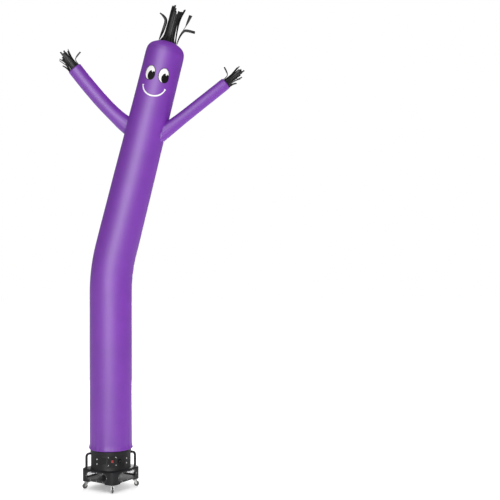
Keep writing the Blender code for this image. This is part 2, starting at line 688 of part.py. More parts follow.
def tube_rings(inset):
    """Rings of points for one face of the cloth, from the hem to the vent in the head."""
    rows = [(height - BEND_HEIGHT, radius, pucker) for height, radius, pucker in HEM]
    rows += [(height - BEND_HEIGHT, TUBE_R, 0.0) for height in UPRIGHT_ROWS]
    reach = BEND_R * math.tan(LEAN / 2)
    rows += [(-reach + 2 * reach * step / BEND_STEPS, TUBE_R, 0.0) for step in range(BEND_STEPS + 1)]
    rows += [(along, tube_radius(along), 0.0) for along in LEANING_ROWS]
    rows += [(AXIS_LENGTH - drop, radius, 0.0) for drop, radius in DOME]
    rings = []
    for number, (along, radius, pucker) in enumerate(rows):
        before, after = rows[max(0, number - 1)], rows[min(len(rows) - 1, number + 1)]
        slope = math.atan2(before[1] - after[1], after[0] - before[0])
        # The sheet's thickness is measured square to its slope
        centre, across, up = tube_frame(along - inset * math.sin(slope))
        wall = radius - inset * math.cos(slope)
        ring = []
        for k in range(FACETS):
            angle = math.tau * k / FACETS + TURN
            reach_here = wall + pucker * math.sin(HEM_PUCKERS * angle) * math.cos(3 * angle + 1)
            ring.append(centre + (across * math.cos(angle) + Vector((0, 1, 0)) * math.sin(angle)) * reach_here)
        rings.append(ring)
    return rings


def arm_curve(arm, share):
    """Centre and direction of an arm, from its hand at 0 to its root at 1."""
    depth, hand, bend, root = arm[1], arm[2], arm[3], arm[4]
    rest = 1 - share
    point = [rest * rest * a + 2 * rest * share * b + share * share * c for a, b, c in zip(hand, bend, root)]
    way = [rest * (b - a) + share * (c - b) for a, b, c in zip(hand, bend, root)]
    return Vector((point[0], depth, point[1])), Vector((way[0], 0, way[1])).normalized()


def arm_radius(arm, share):
    """Nearly even from the hand on, and wider towards the root."""
    hand, middle, root = arm[5]
    if share < 0.6:
        return hand + (middle - hand) * share / 0.6
    return middle + (root - middle) * ((share - 0.6) / 0.4) ** 2


def arm_ring(arm, share, inset):
    centre, way = arm_curve(arm, share)
    level = Vector((0, 1, 0))
    side = level.cross(way)
    radius = arm_radius(arm, share) - inset
    angles = [math.tau * (k + 0.5) / ARM_SIDES for k in range(ARM_SIDES)]
    return [centre + (side * math.cos(a) + level * math.sin(a)) * radius for a in angles], way


def to_body(point, way, clearance):
    """Moves a point along an arm's direction until it lies this far outside the body tube."""
    axis_start = Vector((0, 0, BEND_HEIGHT))
    up = Vector((math.sin(LEAN), 0, math.cos(LEAN)))
    low, high = -0.30, 0.30
    for _ in range(50):
        middle = (low + high) / 2
        offset = point + way * middle - axis_start
        along = offset.dot(up)
        outside = (offset - up * along).length - tube_radius(along) - clearance
        low, high = (middle, high) if outside > 0 else (low, middle)
    return point + way * low


def make_body_tube():
    """The one long piece of cloth: hem, upright length, bend, leaning length and domed head with its vent."""
    bm = bmesh.new()
    skin(bm, tube_rings(0) + tube_rings(CLOTH)[::-1], closed=True)
    body = to_mesh(bm, "body_tube")
    holes = []
    for arm in ARMS:
        ring, way = arm_ring(arm, 1.0, ARM_HOLE_INSET)
        bm = bmesh.new()
        skin(bm, [[point + way * step for point in ring] for step in (-0.10, 0.10)])
        holes.append(to_mesh(bm, "arm_hole"))
    place("body_tube", shaped("body_tube", body, cut=holes), "purple_nylon")


def make_arm(arm):
    """A hollow sleeve, open at the hand, whose root lies on the body tube all the way round its hole."""
    faces = []
    for inset in (0, CLOTH):
        rings = []
        for row in range(ARM_ROWS + 1):
            ring, way = arm_ring(arm, row / ARM_ROWS, inset)
            if row == ARM_ROWS:
                ring = [to_body(point, way, CLEAR) for point in ring]
            rings.append(ring)
        faces.append(rings)
    bm = bmesh.new()
    skin(bm, faces[0] + faces[1][::-1], closed=True)
    place("arm_" + arm[0], to_mesh(bm, "arm_" + arm[0]), "purple_nylon")


def make_strips(name, centre, axes, ring_r, ring_depth, strips):
    """A backing ring and the strips that rise from it, fused at their roots. The ring's top is at the centre,
    and the three axes are right-handed."""
    across, depth, up = axes
    turns = []
    for degrees, _, sections in strips:
        half_root = sections[0][2] / 2 / ring_r
        turns += [math.radians(degrees) - half_root, math.radians(degrees) + half_root]
    inner_r = ring_r - STRIP_SHEET

    def spot(radius, angle, height):
        return centre + (across * math.cos(angle) + depth * math.sin(angle)) * radius + up * height

    bm = bmesh.new()
    ring = []
    for angle in turns:
        ring.append([bm.verts.new(spot(r, angle, h)) for r, h in (
            (inner_r, -ring_depth), (ring_r, -ring_depth), (ring_r, 0), (inner_r, 0)
        )])
    for i, corner in enumerate(ring):
        following = ring[(i + 1) % len(ring)]
        for side in (0, 1, 3):
            after = (side + 1) % 4
            bm.faces.new((corner[side], corner[after], following[after], following[side]))
        if i % 2 == 1:
            bm.faces.new((corner[2], corner[3], following[3], following[2]))
            continue
        angle = (turns[i] + turns[i + 1]) / 2
        out = across * math.cos(angle) + depth * math.sin(angle)
        round_way = up.cross(out)
        below = [corner[3], corner[2], following[2], following[3]]
        _, full_twist, sections = strips[i // 2]
        path = [(0.0, 0.0)] + [(height, away) for height, away, _ in sections]
        for step, (height, away, width) in enumerate(sections, start=1):
            last, coming = path[step - 1], path[min(step + 1, len(path) - 1)]
            slope = math.atan2(coming[1] - last[1], coming[0] - last[0])
            face_way = out * math.cos(slope) - up * math.sin(slope)
            middle = centre + out * (ring_r - STRIP_SHEET / 2 + away) + up * height
            twist = math.radians(full_twist) * min(1.0, step / 2)
            thick = (face_way * math.cos(twist) - round_way * math.sin(twist)) * STRIP_SHEET / 2
            wide = (round_way * math.cos(twist) + face_way * math.sin(twist)) * width / 2
            above = [bm.verts.new(middle + move) for move in (
                -thick - wide, thick - wide, thick + wide, -thick + wide
            )]
            for side in range(4):
                after = (side + 1) % 4
                bm.faces.new((below[side], below[after], above[after], above[side]))
            below = above
        bm.faces.new(below)
    place(name, to_mesh(bm, name), "black_nylon")


def make_hair():
    centre, across, up = tube_frame(AXIS_LENGTH - DOME[-1][0] + HAIR_RING_RISE)
    make_strips("hair", centre, (across, Vector((0, 1, 0)), up), HAIR_RING_R, HAIR_RING_DEPTH, HAIR_STRIPS)


def make_hand(arm):
    """Strips fixed inside the open end of an arm. The loose one that bends aside lies on the hand's upper side."""
    centre, way = arm_curve(arm, 0.0)
    up = -way
    depth = Vector((0, -1, 0))
    across = up.cross(depth)
    if across.z < 0:
        depth, across = -depth, -across
    ring_r = (arm[5][0] - CLOTH) * math.cos(math.pi / ARM_SIDES) - 2 * CLEAR
    ring_top = centre - up * HAND_RING_INSET
    make_strips("streamers_" + arm[0], ring_top, (depth, across, up), ring_r, HAND_RING_DEPTH, HAND_STRIPS)


def on_head(turn, drop, lift):
    """The point this far round from the front and below the top of the head, lifted off the cloth."""
    along = AXIS_LENGTH - drop
    centre, across, up = tube_frame(along)
    out = across * math.sin(turn) - Vector((0, 1, 0)) * math.cos(turn)
    return centre + out * (tube_radius(along) + lift)


def on_drum(turn, drop, lift):
    return outward(turn) * (DRUM_R + lift) - Vector((0, 0, drop))


def patch(name, rows, surface, radius, lift, wrap, parent=None):
    """A thin piece laid on a round wall. Rows run outwards from the patch's middle, each a closed ring of
    (across, down) distances, and the first row may be a single point."""
    bm = bmesh.new()
    layers = []
    for level in (lift, lift + PATCH_SHEET):
        layers.append([[bm.verts.new(wrap(a / radius, d, level)) for a, d in row] for row in rows])
    for layer in layers:
        for inner, outer in zip(layer, layer[1:]):
            for i in range(len(outer)):
                j = (i + 1) % len(outer)
                if len(inner) == 1:
                    bm.faces.new((inner[0], outer[i], outer[j]))
                else:
                    bm.faces.new((inner[i], outer[i], outer[j], inner[j]))
    low, high = layers[0][-1], layers[1][-1]
    for i in range(len(low)):
        j = (i + 1) % len(low)
        bm.faces.new((low[i], low[j], high[j], high[i]))
    place(name, to_mesh(bm, name), surface, parent)


def oval(middle, size, share, tilt=0.0, notch=0.0):
    """A ring of a tilted oval, which may dip inwards at the glint."""
    ring = []
    for k in range(OVAL_POINTS):
        angle = GLINT_TURN + math.tau * k / OVAL_POINTS
        off = abs((angle - GLINT_TURN + math.pi) % math.tau - math.pi)
        reach = share * (1 - notch * max(0.0, 1 - off / (GLINT_WIDTH / 2)))
        across = size[0] / 2 * reach * math.cos(angle)
        up = size[1] / 2 * reach * math.sin(angle)
        ring.append((
            middle[0] + across * math.cos(tilt) - up * math.sin(tilt),
            middle[1] - across * math.sin(tilt) - up * math.cos(tilt),
        ))
    return ring


def make_face():
    """Two white ovals with notched black ones on them, and a curved white mouth, all laid on the head."""
    radius = HEAD_R
    pupil_lift = PATCH_LIFT + PATCH_SHEET + 2 * CLEAR
    for name, side in (("left", -1), ("right", 1)):
        middle = ((FACE_TURN + side * EYE_TURN) * radius, EYE_DROP)
        rows = [[middle]] + [oval(middle, EYE_SIZE, share) for share in (0.36, 0.7, 1.0)]
        patch("eye_white_" + name, rows, "white_nylon", radius, PATCH_LIFT, on_head)
        middle = (middle[0] + PUPIL_SHIFT[0], middle[1] + PUPIL_SHIFT[1])
        rows = [[middle]]
        rows += [oval(middle, PUPIL_SIZE, share, PUPIL_TILT, GLINT_DEPTH * share) for share in (0.36, 0.7, 1.0)]
        patch("pupil_" + name, rows, "black_nylon", radius, pupil_lift, on_head)
    make_mouth(radius)


def make_mouth(radius):
    """An arc of a circle, thickest in its middle, with a round end at each corner of the mouth."""
    steps = 22
    middle = (MOUTH_TURN * radius, MOUTH_DROP)
    upper, lower = [], []
    for k in range(steps + 1):
        share = 2 * k / steps - 1
        angle = share * MOUTH_SWEEP
        width = MOUTH_END_WIDTH + (MOUTH_WIDTH - MOUTH_END_WIDTH) * math.cos(share * math.pi / 2)
        if k in (0, steps):
            width *= 0.5
        for side, row in ((-1, upper), (1, lower)):
            reach = MOUTH_R + side * width / 2
            row.append((middle[0] + reach * math.sin(angle), middle[1] + reach * math.cos(angle)))
    bm = bmesh.new()
    walls = []
    for row, level in ((upper, 0), (lower, 0), (lower, 1), (upper, 1)):
        lift = PATCH_LIFT + level * PATCH_SHEET
        walls.append([on_head(a / radius, d, lift) for a, d in row])
    skin(bm, [[wall[k] for wall in walls] for k in range(steps + 1)])
    place("mouth", to_mesh(bm, "mouth"), "white_nylon")


def make_rating_plate(blower):
    """A blank plate that follows the drum's curve."""
    columns = 8
    width, height = RATING_SIZE
    rings = []
    for k in range(columns + 1):
        turn = RATING_ANGLE + width * (k / columns - 0.5) / DRUM_R
        rings.append([
            on_drum(turn, -RATING_HEIGHT + side * height / 2, PATCH_LIFT + level * PATCH_SHEET)
            for side, level in ((-1, 0), (1, 0), (1, 1), (-1, 1))
        ])
    bm = bmesh.new()
    skin(bm, rings)
    place("rating_plate", to_mesh(bm, "rating_plate"), "gloss_plastic", blower)


def main():
    clear_scene()
    blower = empty("blower", turn=TURN)
    make_housing(blower)
    make_grilles(blower)
    make_guard(blower)
    make_band(blower)
    make_handles(blower)
    make_switch(blower)
    make_inlet(blower)
    make_rating_plate(blower)
    make_screws(blower)
    make_casters(blower)
    make_body_tube()
    for arm in ARMS:
        make_arm(arm)
        make_hand(arm)
    make_hair()
    make_face()


main()
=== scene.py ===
import math
from bisect import bisect_right

import bmesh
import bpy
from mathutils import Matrix, Vector, noise


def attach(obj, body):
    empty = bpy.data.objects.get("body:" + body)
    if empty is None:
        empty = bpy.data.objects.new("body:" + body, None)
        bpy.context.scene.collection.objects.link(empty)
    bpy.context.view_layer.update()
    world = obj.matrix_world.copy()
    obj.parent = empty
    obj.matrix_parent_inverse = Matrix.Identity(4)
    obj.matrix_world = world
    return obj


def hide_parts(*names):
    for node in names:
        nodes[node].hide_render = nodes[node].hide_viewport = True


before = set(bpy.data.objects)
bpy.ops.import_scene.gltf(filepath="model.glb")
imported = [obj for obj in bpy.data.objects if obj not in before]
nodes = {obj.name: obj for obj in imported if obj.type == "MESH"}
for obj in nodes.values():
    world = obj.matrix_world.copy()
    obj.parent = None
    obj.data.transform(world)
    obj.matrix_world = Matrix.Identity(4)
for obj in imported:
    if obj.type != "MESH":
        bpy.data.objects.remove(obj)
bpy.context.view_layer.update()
Y = Vector((0, 1, 0))
Z = Vector((0, 0, 1))

# Real sizes in metres, heights counted from the housing's flat underside. The large ones are as in part.py.
FLOOR = -0.096
TURN = math.radians(4)
DRUM_R = 0.2155
BASE_SIDE = 0.466
TUBE_R = 0.2285
HEAD_R = 0.2130
LEAN = math.radians(13.9)
BEND_HEIGHT = 2.270
BEND_R = 1.95
AXIS_LENGTH = 2.597
TAPER_FROM, TAPER_TO = 0.45, 2.30
HEM = (  # height, radius
    (0.3300, 0.2185), (0.3325, 0.2300), (0.3385, 0.2367), (0.3500, 0.2350),
    (0.3660, 0.2315), (0.3850, 0.2292), (0.4300, 0.2285), (0.4700, 0.2285),
)
DOME = (  # drop below the top of the head, radius
    (0.290, 0.2130), (0.180, 0.2130), (0.125, 0.2105), (0.085, 0.2000),
    (0.055, 0.1780), (0.032, 0.1440), (0.014, 0.1050),
)
BODY_SPANS = (  # from, to, both counted along the axis from its bend, and the rows of cloth between
    (-1.9400, -1.9200, 10), (-1.9200, -1.8400, 16), (-1.8400, -0.2380, 60),
    (-0.2380, 0.2380, 36), (0.2380, 2.3070, 76), (2.3070, 2.5000, 18), (2.5000, 2.5830, 20),
)
BODY_COLUMNS = 120
CLOTH = 0.0006

# Folds and seams of the body's cloth
GATHER_START, GATHER_END = 0.012, 0.6  # heights above the hem's lower edge
GATHERS = (  # height they fade over, depth, number round the tube, then sway, its number round and its shift
    (0.05, 0.0018, 34, 1.6, 5, 0),
    (0.16, 0.0032, 11, 2.0, 3, 1),
)
CREASES = ((-0.16, 0.7), (-0.03, 1.0), (0.09, 0.9), (0.20, 0.6))  # place along the axis, share of the depth
CREASE_DEPTH = 0.0022
CREASE_SPREAD = 0.75  # radians round the tube
CREASE_WIDTH = 0.016
CREASE_BOW = 0.05
BACK_SEAM_HEIGHT, BACK_SEAM_WIDTH = 0.0009, 0.006
DOME_SEAM_DROP, DOME_SEAM_DEPTH, DOME_SEAM_WIDTH = 0.118, 0.0010, 0.005
UNEVENNESS = 0.0012
EVEN_CROWN = 0.05  # drop below the top of the head above which the cloth is even

# Arms and their sleeves
ARMS = (  # name, depth, hand, bend and root as (x, z), and the radius at hand, middle and root
    ("left", 0.070, (-0.393, 4.485), (-0.047, 4.041), (0.170, 3.880), (0.078, 0.080, 0.096)),
    ("right", -0.070, (1.2545, 4.336), (0.931, 4.070), (0.600, 3.804), (0.066, 0.0675, 0.080)),
)
ARM_MIDDLE = 0.6
SLEEVE_COLUMNS, SLEEVE_ROWS = 60, 84
ROW_SHIFT, ROOT_ROW_SHIFT = 0.035, 0.6  # how much closer the middle's rows lie, and the root's share of that
# Gathers where a sleeve is sewn to the body: depth, share of its length they fade over, number round
SLEEVE_GATHERS = (0.0022, 0.07, 13)
SLEEVE_HEM = (0.024, 0.0010, 0.0035)  # place along the sleeve, depth, width
SLEEVE_SEAM_HEIGHT, SLEEVE_SEAM_WIDTH = 0.0008, 0.005
SLEEVE_UNEVENNESS = 0.0007
SLEEVE_LANDING = 0.86  # share of its length from which a sleeve bends to meet the body
SLEEVE_SINK = 0.0012
LANDING_SPAN, LANDING_HALVINGS = 0.30, 40
SOLID_CLOTH = 0.0015
SOLID_SLEEVE_SIDES = 18
ARM_HOLE_INSET = 0.020  # the hidden hole is this much smaller than the sleeve, past its deepest gather
ARM_HOLE_REACH = 0.12

# Face
FACE_TURN = math.radians(-9.5)
EYE_TURN = math.radians(20.9)
EYE_DROP = 0.411
EYE_SIZE = (0.1125, 0.158)
EYE_LIFT, MOUTH_LIFT, PUPIL_LIFT = 0.0005, 0.0012, 0.0014  # above the head's cloth
PATCH_CLOTH = 0.0007
OVAL_SIDES = 90
OVAL_RINGS = 6
OVAL_RING_WIDTH = 0.14  # share of the oval's half width
PUPIL_SHIFT = (0.0207, 0.0255)
PUPIL_SIZE = (0.082, 0.109)
PUPIL_TILT = math.radians(-6)
GLINT_TURN = math.radians(88)
GLINT_WIDTH = math.radians(44)
GLINT_DEPTH = 0.50
MOUTH_TURN = math.radians(-9.4)
MOUTH_DROP = 0.523
MOUTH_R = 0.132
MOUTH_SWEEP = math.radians(79)
MOUTH_WIDTH = 0.0160
MOUTH_END_WIDTH = 0.0125
MOUTH_FLARE = 0.016
MOUTH_FLARE_AT, MOUTH_FLARE_WIDTH = 0.97, 0.026  # shares of half the mouth
MOUTH_ROUND_FROM = 0.975

# Stitching
EYE_STITCH = 0.007  # half the width of the zigzag round an eye
EYE_STITCH_HEIGHT = 0.0008
EYE_STITCH_LIFT = (0.0012, 0.0002)  # at its inner and its outer edge
STITCH_PITCH = 0.009
STITCH = (0.0055, 0.0011, 0.0006)  # length, width and height of one stitch
HEM_STITCH_RISE = 0.006
DOME_STITCH_DROPS = (0.124, 0.112)
BACK_STITCH_RISE, BACK_STITCH_DROP = 0.012, 0.135
BACK_STITCH_TURN = 0.022
BACK_STITCH_LENGTH = 4.5
SLEEVE_STITCH_PLACES = (0.030, 0.985)

# Hair and streamers
HAIR_RING_R = 0.1036
HAIR_RING_RISE = 0.003
RING_CLEARANCE = 0.0006
STRIP_CLOTH = 0.0005
STRIP_ROOT = -0.012  # height at which a strip starts, inside its ring
STRIP_INSET = 0.001
STRIP_RIPPLE = 0.0030
STRIP_CUP = 0.10
STRIP_TWIST = 0.10
FILL_WIDTH = 0.95
FILL_SHIFT = 0.6
# The shorter strips that fill the middle: degrees round from the long ones, share of height, distance inwards
HAIR_FILL = (15, 0.93, 0.016)
HAND_FILL = (18, 0.9, 0.014)
# A strip's place round its ring and its twist in degrees, then (height, distance out, width) in
# millimetres at each of its sections
HAIR = (
    (0, 90, ((70, 6, 13), (150, 24, 24), (184, 52, 30), (193, 160, 30))),
    (30, 0, ((70, -16, 34), (190, -26, 36), (310, -26, 40), (422, 6, 40))),
    (60, 0, ((70, -26, 34), (200, -40, 32), (300, -42, 34), (362, -28, 28))),
    (90, 0, ((70, -34, 34), (200, -48, 30), (310, -52, 30), (365, -50, 20))),
    (120, 0, ((70, -34, 34), (200, -40, 30), (320, -44, 30), (405, -48, 24))),
    (150, 0, ((70, -40, 34), (200, -52, 30), (320, -60, 30), (417, -66, 26))),
    (180, 90, ((60, -12, 30), (150, -22, 32), (240, -22, 34), (278, 14, 28), (300, 60, 14))),
    (210, 0, ((70, -40, 34), (200, -46, 32), (320, -50, 32), (410, -56, 26))),
    (240, 0, ((70, -34, 34), (200, -48, 30), (320, -56, 30), (420, -58, 22))),
    (270, 0, ((70, -34, 34), (200, -40, 32), (310, -40, 32), (350, -36, 22))),
    (300, 0, ((70, -24, 34), (200, -36, 34), (290, -36, 34), (356, -22, 32))),
    (335, 90, ((110, 18, 8), (205, 56, 8), (262, 70, 26), (345, 84, 42))),
)
HAND_INSET = 0.032
HAND = (
    (18, 0, ((45, -16, 24), (130, -20, 24), (210, -20, 24), (282, -12, 18))),
    (54, 0, ((45, -16, 24), (130, -18, 24), (190, -8, 24), (262, 8, 16))),
    (90, 90, ((55, -12, 9), (108, -2, 9), (126, 40, 17), (138, 88, 16))),
    (126, 0, ((45, -16, 24), (130, -20, 24), (200, -14, 24), (268, -2, 16))),
    (162, 0, ((45, -16, 24), (130, -22, 22), (200, -20, 24), (246, -14, 22))),
    (198, 0, ((45, -14, 24), (120, -18, 24), (180, -12, 24), (238, 4, 22))),
    (234, 0, ((45, -12, 24), (110, -14, 24), (160, -2, 24), (212, 16, 22))),
    (270, 70, ((40, -10, 22), (80, -8, 20), (110, 0, 18), (132, 12, 14))),
    (306, 0, ((45, -14, 24), (120, -18, 22), (170, -6, 18), (205, 12, 10))),
    (342, 0, ((45, -16, 24), (130, -22, 22), (200, -22, 22), (300, -20, 16))),
)
# The left hand's long strips are shorter: past this height, in millimetres, they reach this share as far
LEFT_TRIM_FROM = 200
LEFT_TRIM_SHARE = 0.55

# Grilles, screws and switch
GRILLE_SIZE = (0.300, 0.098)
GRILLE_HEIGHT = 0.0585
GRILLE_LIFT = 0.0003
FRAME_WIDTH, FRAME_THICKNESS, FRAME_EDGE = 0.011, 0.0026, 0.0009
MESH_PITCH = 0.0127
MESH_WIRE = 0.0010
MESH_MARGIN = 0.008  # how far the mesh's edge lies inside the frame's
LEVEL_WIRE_DEPTH, UPRIGHT_WIRE_DEPTH = 0.0012, 0.0030
WINDOW_SCREW_MARGIN = 0.0055
WINDOW_SCREW_PLACES = (-0.088, 0, 0.088)
SCREW_HEAD = (  # radius, height
    (0.0, 0.0022), (0.0016, 0.0021), (0.0032, 0.0016), (0.0043, 0.0007), (0.0046, -0.0003),
)
DRUM_SCREWS = (("left", -47.5), ("right", 47.5))
DRUM_SCREW_HEIGHTS = (("low", 0.193), ("high", 0.244))
DRUM_SCREW_SCALE = 1.7
SWITCH_HEIGHT = 0.229
SWITCH_OUT = 0.2193
PLATE_SCREW_REACH = 0.041
PLATE_SCREW_SCALE = 1.25
EASED_FROM = math.radians(40)  # edges sharper than this are rounded over
FRAME_EASED_FROM = math.radians(50)


# Materials

THREAD_HALF = 0.06  # half the width of ripstop's thicker thread, as a share of its square


def linear(hex_colour):
    """The linear colour of an sRGB hex value."""
    parts = [int(hex_colour[i:i + 2], 16) / 255 for i in (1, 3, 5)]
    return (*(p / 12.92 if p <= 0.04045 else ((p + 0.055) / 1.055) ** 2.4 for p in parts), 1.0)


def add(tree, kind, values=None, links=None, **settings):
    """One node with its settings, its unlinked sockets' values and its incoming links."""
    made = tree.nodes.new("ShaderNode" + kind)
    for name, value in settings.items():
        setattr(made, name, value)
    for name, value in (values or {}).items():
        made.inputs[name].default_value = value
    for name, source in (links or {}).items():
        tree.links.new(source, made.inputs[name])
    return made


def material(name, colour, roughness, metallic=0.0, **more):
    """A Principled material with its constants on the shader's own sockets."""
    made = bpy.data.materials.new(name)
    made.use_nodes = True
    shader = made.node_tree.nodes["Principled BSDF"]
    shader.inputs["Base Color"].default_value = linear(colour)
    shader.inputs["Roughness"].default_value = roughness
    shader.inputs["Metallic"].default_value = metallic
    for socket, value in more.items():
        shader.inputs[socket.replace("_", " ")].default_value = value
    return made, made.node_tree, shader


def varied(tree, shader, coords, light, dark, scale, detail=3.0, low=0.35, high=0.65):
    """Base colour that drifts between two close tones."""
    cloud = add(tree, "TexNoise", {"Scale": scale, "Detail": detail}, {"Vector": coords})
    ramp = add(tree, "ValToRGB", links={"Fac": cloud.outputs["Fac"]})
    ramp.color_ramp.elements[0].position = low
    ramp.color_ramp.elements[0].color = linear(dark)
    ramp.color_ramp.elements[1].position = high
    ramp.color_ramp.elements[1].color = linear(light)
    tree.links.new(ramp.outputs["Color"], shader.inputs["Base Color"])
    return cloud


def nylon(name, light, dark, roughness, grid=0.005, wrinkle=0.25, **more):
    """Ripstop nylon, woven with a thicker thread every few millimetres and calendered smooth. It has a satin
    face with soft creases and a faint square grid, which is finer than a pixel and only shows close up."""
    made, tree, shader = material(name, light, roughness, **more)
    place = add(tree, "UVMap", uv_map="flat").outputs["UV"]
    solid = add(tree, "TexCoord").outputs["Object"]
    varied(tree, shader, solid, light, dark, 3.0)
    split = add(tree, "SeparateXYZ", links={"Vector": place})
    lines = []
    for side in ("X", "Y"):
        count = add(tree, "Math", {1: 1 / grid}, {0: split.outputs[side]}, operation="MULTIPLY")
        part = add(tree, "Math", links={0: count.outputs[0]}, operation="FRACT")
        away = add(tree, "Math", {1: 0.5}, {0: part.outputs[0]}, operation="SUBTRACT")
        near = add(tree, "Math", links={0: away.outputs[0]}, operation="ABSOLUTE")
        lines.append(add(tree, "Math", {1: THREAD_HALF}, {0: near.outputs[0]}, operation="LESS_THAN"))
    thread = add(tree, "Math", links={0: lines[0].outputs[0], 1: lines[1].outputs[0]}, operation="MAXIMUM")
    fine = add(tree, "Bump", {"Strength": 0.12, "Distance": 0.0002}, {"Height": thread.outputs[0]})
    stretch = add(tree, "Mapping", {"Scale": (1.0, 1.0, 0.28)}, {"Vector": solid})
    crease = add(tree, "TexNoise", {"Scale": 14.0, "Detail": 4.0, "Roughness": 0.55},
                 {"Vector": stretch.outputs["Vector"]})
    soft = add(tree, "Bump", {"Strength": wrinkle, "Distance": 0.004},
               {"Height": crease.outputs["Fac"], "Normal": fine.outputs["Normal"]})
    tree.links.new(soft.outputs["Normal"], shader.inputs["Normal"])
    return made


def moulded(name, light, dark, roughness, grain=0.0012, depth=0.00012, **more):
    """Plastic from a mould: even colour, with the mould's fine grain in its face and small dull patches."""
    made, tree, shader = material(name, light, roughness, **more)
    solid = add(tree, "TexCoord").outputs["Object"]
    cloud = varied(tree, shader, solid, light, dark, 9.0)
    speck = add(tree, "TexNoise", {"Scale": 1 / grain, "Detail": 2.0}, {"Vector": solid})
    bump = add(tree, "Bump", {"Strength": 0.5, "Distance": depth}, {"Height": speck.outputs["Fac"]})
    tree.links.new(bump.outputs["Normal"], shader.inputs["Normal"])
    dull = add(tree, "MapRange", {"From Min": 0.3, "From Max": 0.7, "To Min": roughness - 0.06,
                                  "To Max": roughness + 0.08}, {"Value": cloud.outputs["Fac"]})
    tree.links.new(dull.outputs["Result"], shader.inputs["Roughness"])
    return made


def metal(name, light, dark, roughness, metallic, grain=0.002, **more):
    """Plated or coated sheet steel: slight clouding in its colour and gloss."""
    made, tree, shader = material(name, light, roughness, metallic, **more)
    solid = add(tree, "TexCoord").outputs["Object"]
    cloud = varied(tree, shader, solid, light, dark, 60.0, 4.0)
    speck = add(tree, "TexNoise", {"Scale": 1 / grain, "Detail": 3.0}, {"Vector": solid})
    bump = add(tree, "Bump", {"Strength": 0.3, "Distance": 0.0001}, {"Height": speck.outputs["Fac"]})
    tree.links.new(bump.outputs["Normal"], shader.inputs["Normal"])
    dull = add(tree, "MapRange", {"From Min": 0.3, "From Max": 0.7, "To Min": roughness - 0.08,
                                  "To Max": roughness + 0.10}, {"Value": cloud.outputs["Fac"]})
    tree.links.new(dull.outputs["Result"], shader.inputs["Roughness"])
    return made


PURPLE = nylon("purple_ripstop_nylon", "#701BA2", "#681699", 0.56, Specular_IOR_Level=0.70)
BLACK = nylon("black_ripstop_nylon", "#0F0F10", "#090909", 0.44, Specular_IOR_Level=0.28)
WHITE = nylon("white_ripstop_nylon", "#F6F5F3", "#EFEEEC", 0.50, wrinkle=0.1)
PUPIL = nylon("black_taffeta_patch", "#100E0D", "#090807", 0.70, wrinkle=0.1, Specular_IOR_Level=0.1)
# Polyethylene that was rotation moulded has a waxy, finely pebbled face
SHELL = moulded("black_rotomoulded_polyethylene", "#1D1D1F", "#151516", 0.50, Specular_IOR_Level=0.2)
GLOSSY = moulded("black_injection_moulded_nylon", "#0A0A0B", "#060607", 0.24, depth=0.00004,
                 Specular_IOR_Level=0.25)
RED = moulded("red_moulded_rocker", "#A80F18", "#960B14", 0.25, depth=0.00002)
WHEEL = moulded("grey_thermoplastic_rubber", "#474747", "#3B3B3B", 0.55)
ZINC = metal("bright_zinc_plated_steel", "#C9C9C6", "#A9AAA8", 0.30, 1.0)
COATED = metal("black_powder_coated_steel", "#1E1E1F", "#161617", 0.42, 0.0)
# Twisted sewing thread has no weave of its own to show
PURPLE_THREAD, _, _ = material("purple_polyester_thread", "#3F1160", 0.55)
BLACK_THREAD, _, _ = material("black_polyester_thread", "#0B0710", 0.60, Specular_IOR_Level=0.2)
TAPE = nylon("black_hook_tape", "#17161B", "#0F0F12", 0.85, grid=0.0015, wrinkle=0.4)


# Shapes

def piece(name, bm, surface, body="housing", hides=(), sharp=38):
    """A finished piece: smooth-shaded, in its material, on a body, and standing for the nodes it hides."""
    mesh = bpy.data.meshes.new(name)
    bm.to_mesh(mesh)
    bm.free()
    mesh.shade_smooth()
    mesh.set_sharp_from_angle(angle=math.radians(sharp))
    mesh.materials.append(surface)
    item = bpy.data.objects.new(name, mesh)
    bpy.context.scene.collection.objects.link(item)
    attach(item, body)
    if hides:
        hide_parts(*hides)
    return item


def thicken(item, thickness, side):
    """Gives a sheet its thickness: inwards for -1, both ways for 0, outwards for 1."""
    step = item.modifiers.new("wall", "SOLIDIFY")
    step.thickness = thickness
    step.offset = side
    return item


def smooth(rows, x):
    """The value at x on a smooth curve through rows of (x, value)."""
    k = max(0, min(len(rows) - 2, bisect_right([row[0] for row in rows], x) - 1))

    def slope(i):
        low, high = rows[max(0, i - 1)], rows[min(len(rows) - 1, i + 1)]
        return (high[1] - low[1]) / (high[0] - low[0])

    (x0, y0), (x1, y1) = rows[k], rows[k + 1]
    h = x1 - x0
    t = (x - x0) / h
    return ((1 + 2 * t) * (1 - t) ** 2 * y0 + t * (1 - t) ** 2 * h * slope(k)
            + t * t * (3 - 2 * t) * y1 + t * t * (t - 1) * h * slope(k + 1))


def wrapped_grid(bm, columns, rows, place, flat):
    """A grid of cloth whose every vertex goes where place(u, v) says, for u and v from 0 to 1. flat(u, v)
    is its place on the flat cut in metres, which the weave follows."""
    made = bmesh.ops.create_grid(bm, x_segments=columns, y_segments=rows, size=0.5)["verts"]
    uv = bm.loops.layers.uv.get("flat") or bm.loops.layers.uv.new("flat")
    shares = {v: (v.co.x + 0.5, v.co.y + 0.5) for v in made}
    for face in {f for v in made for f in v.link_faces}:
        for loop in face.loops:
            loop[uv].uv = flat(*shares[loop.vert])
    for v, (across, along) in shares.items():
        v.co = place(across, along)
    return made


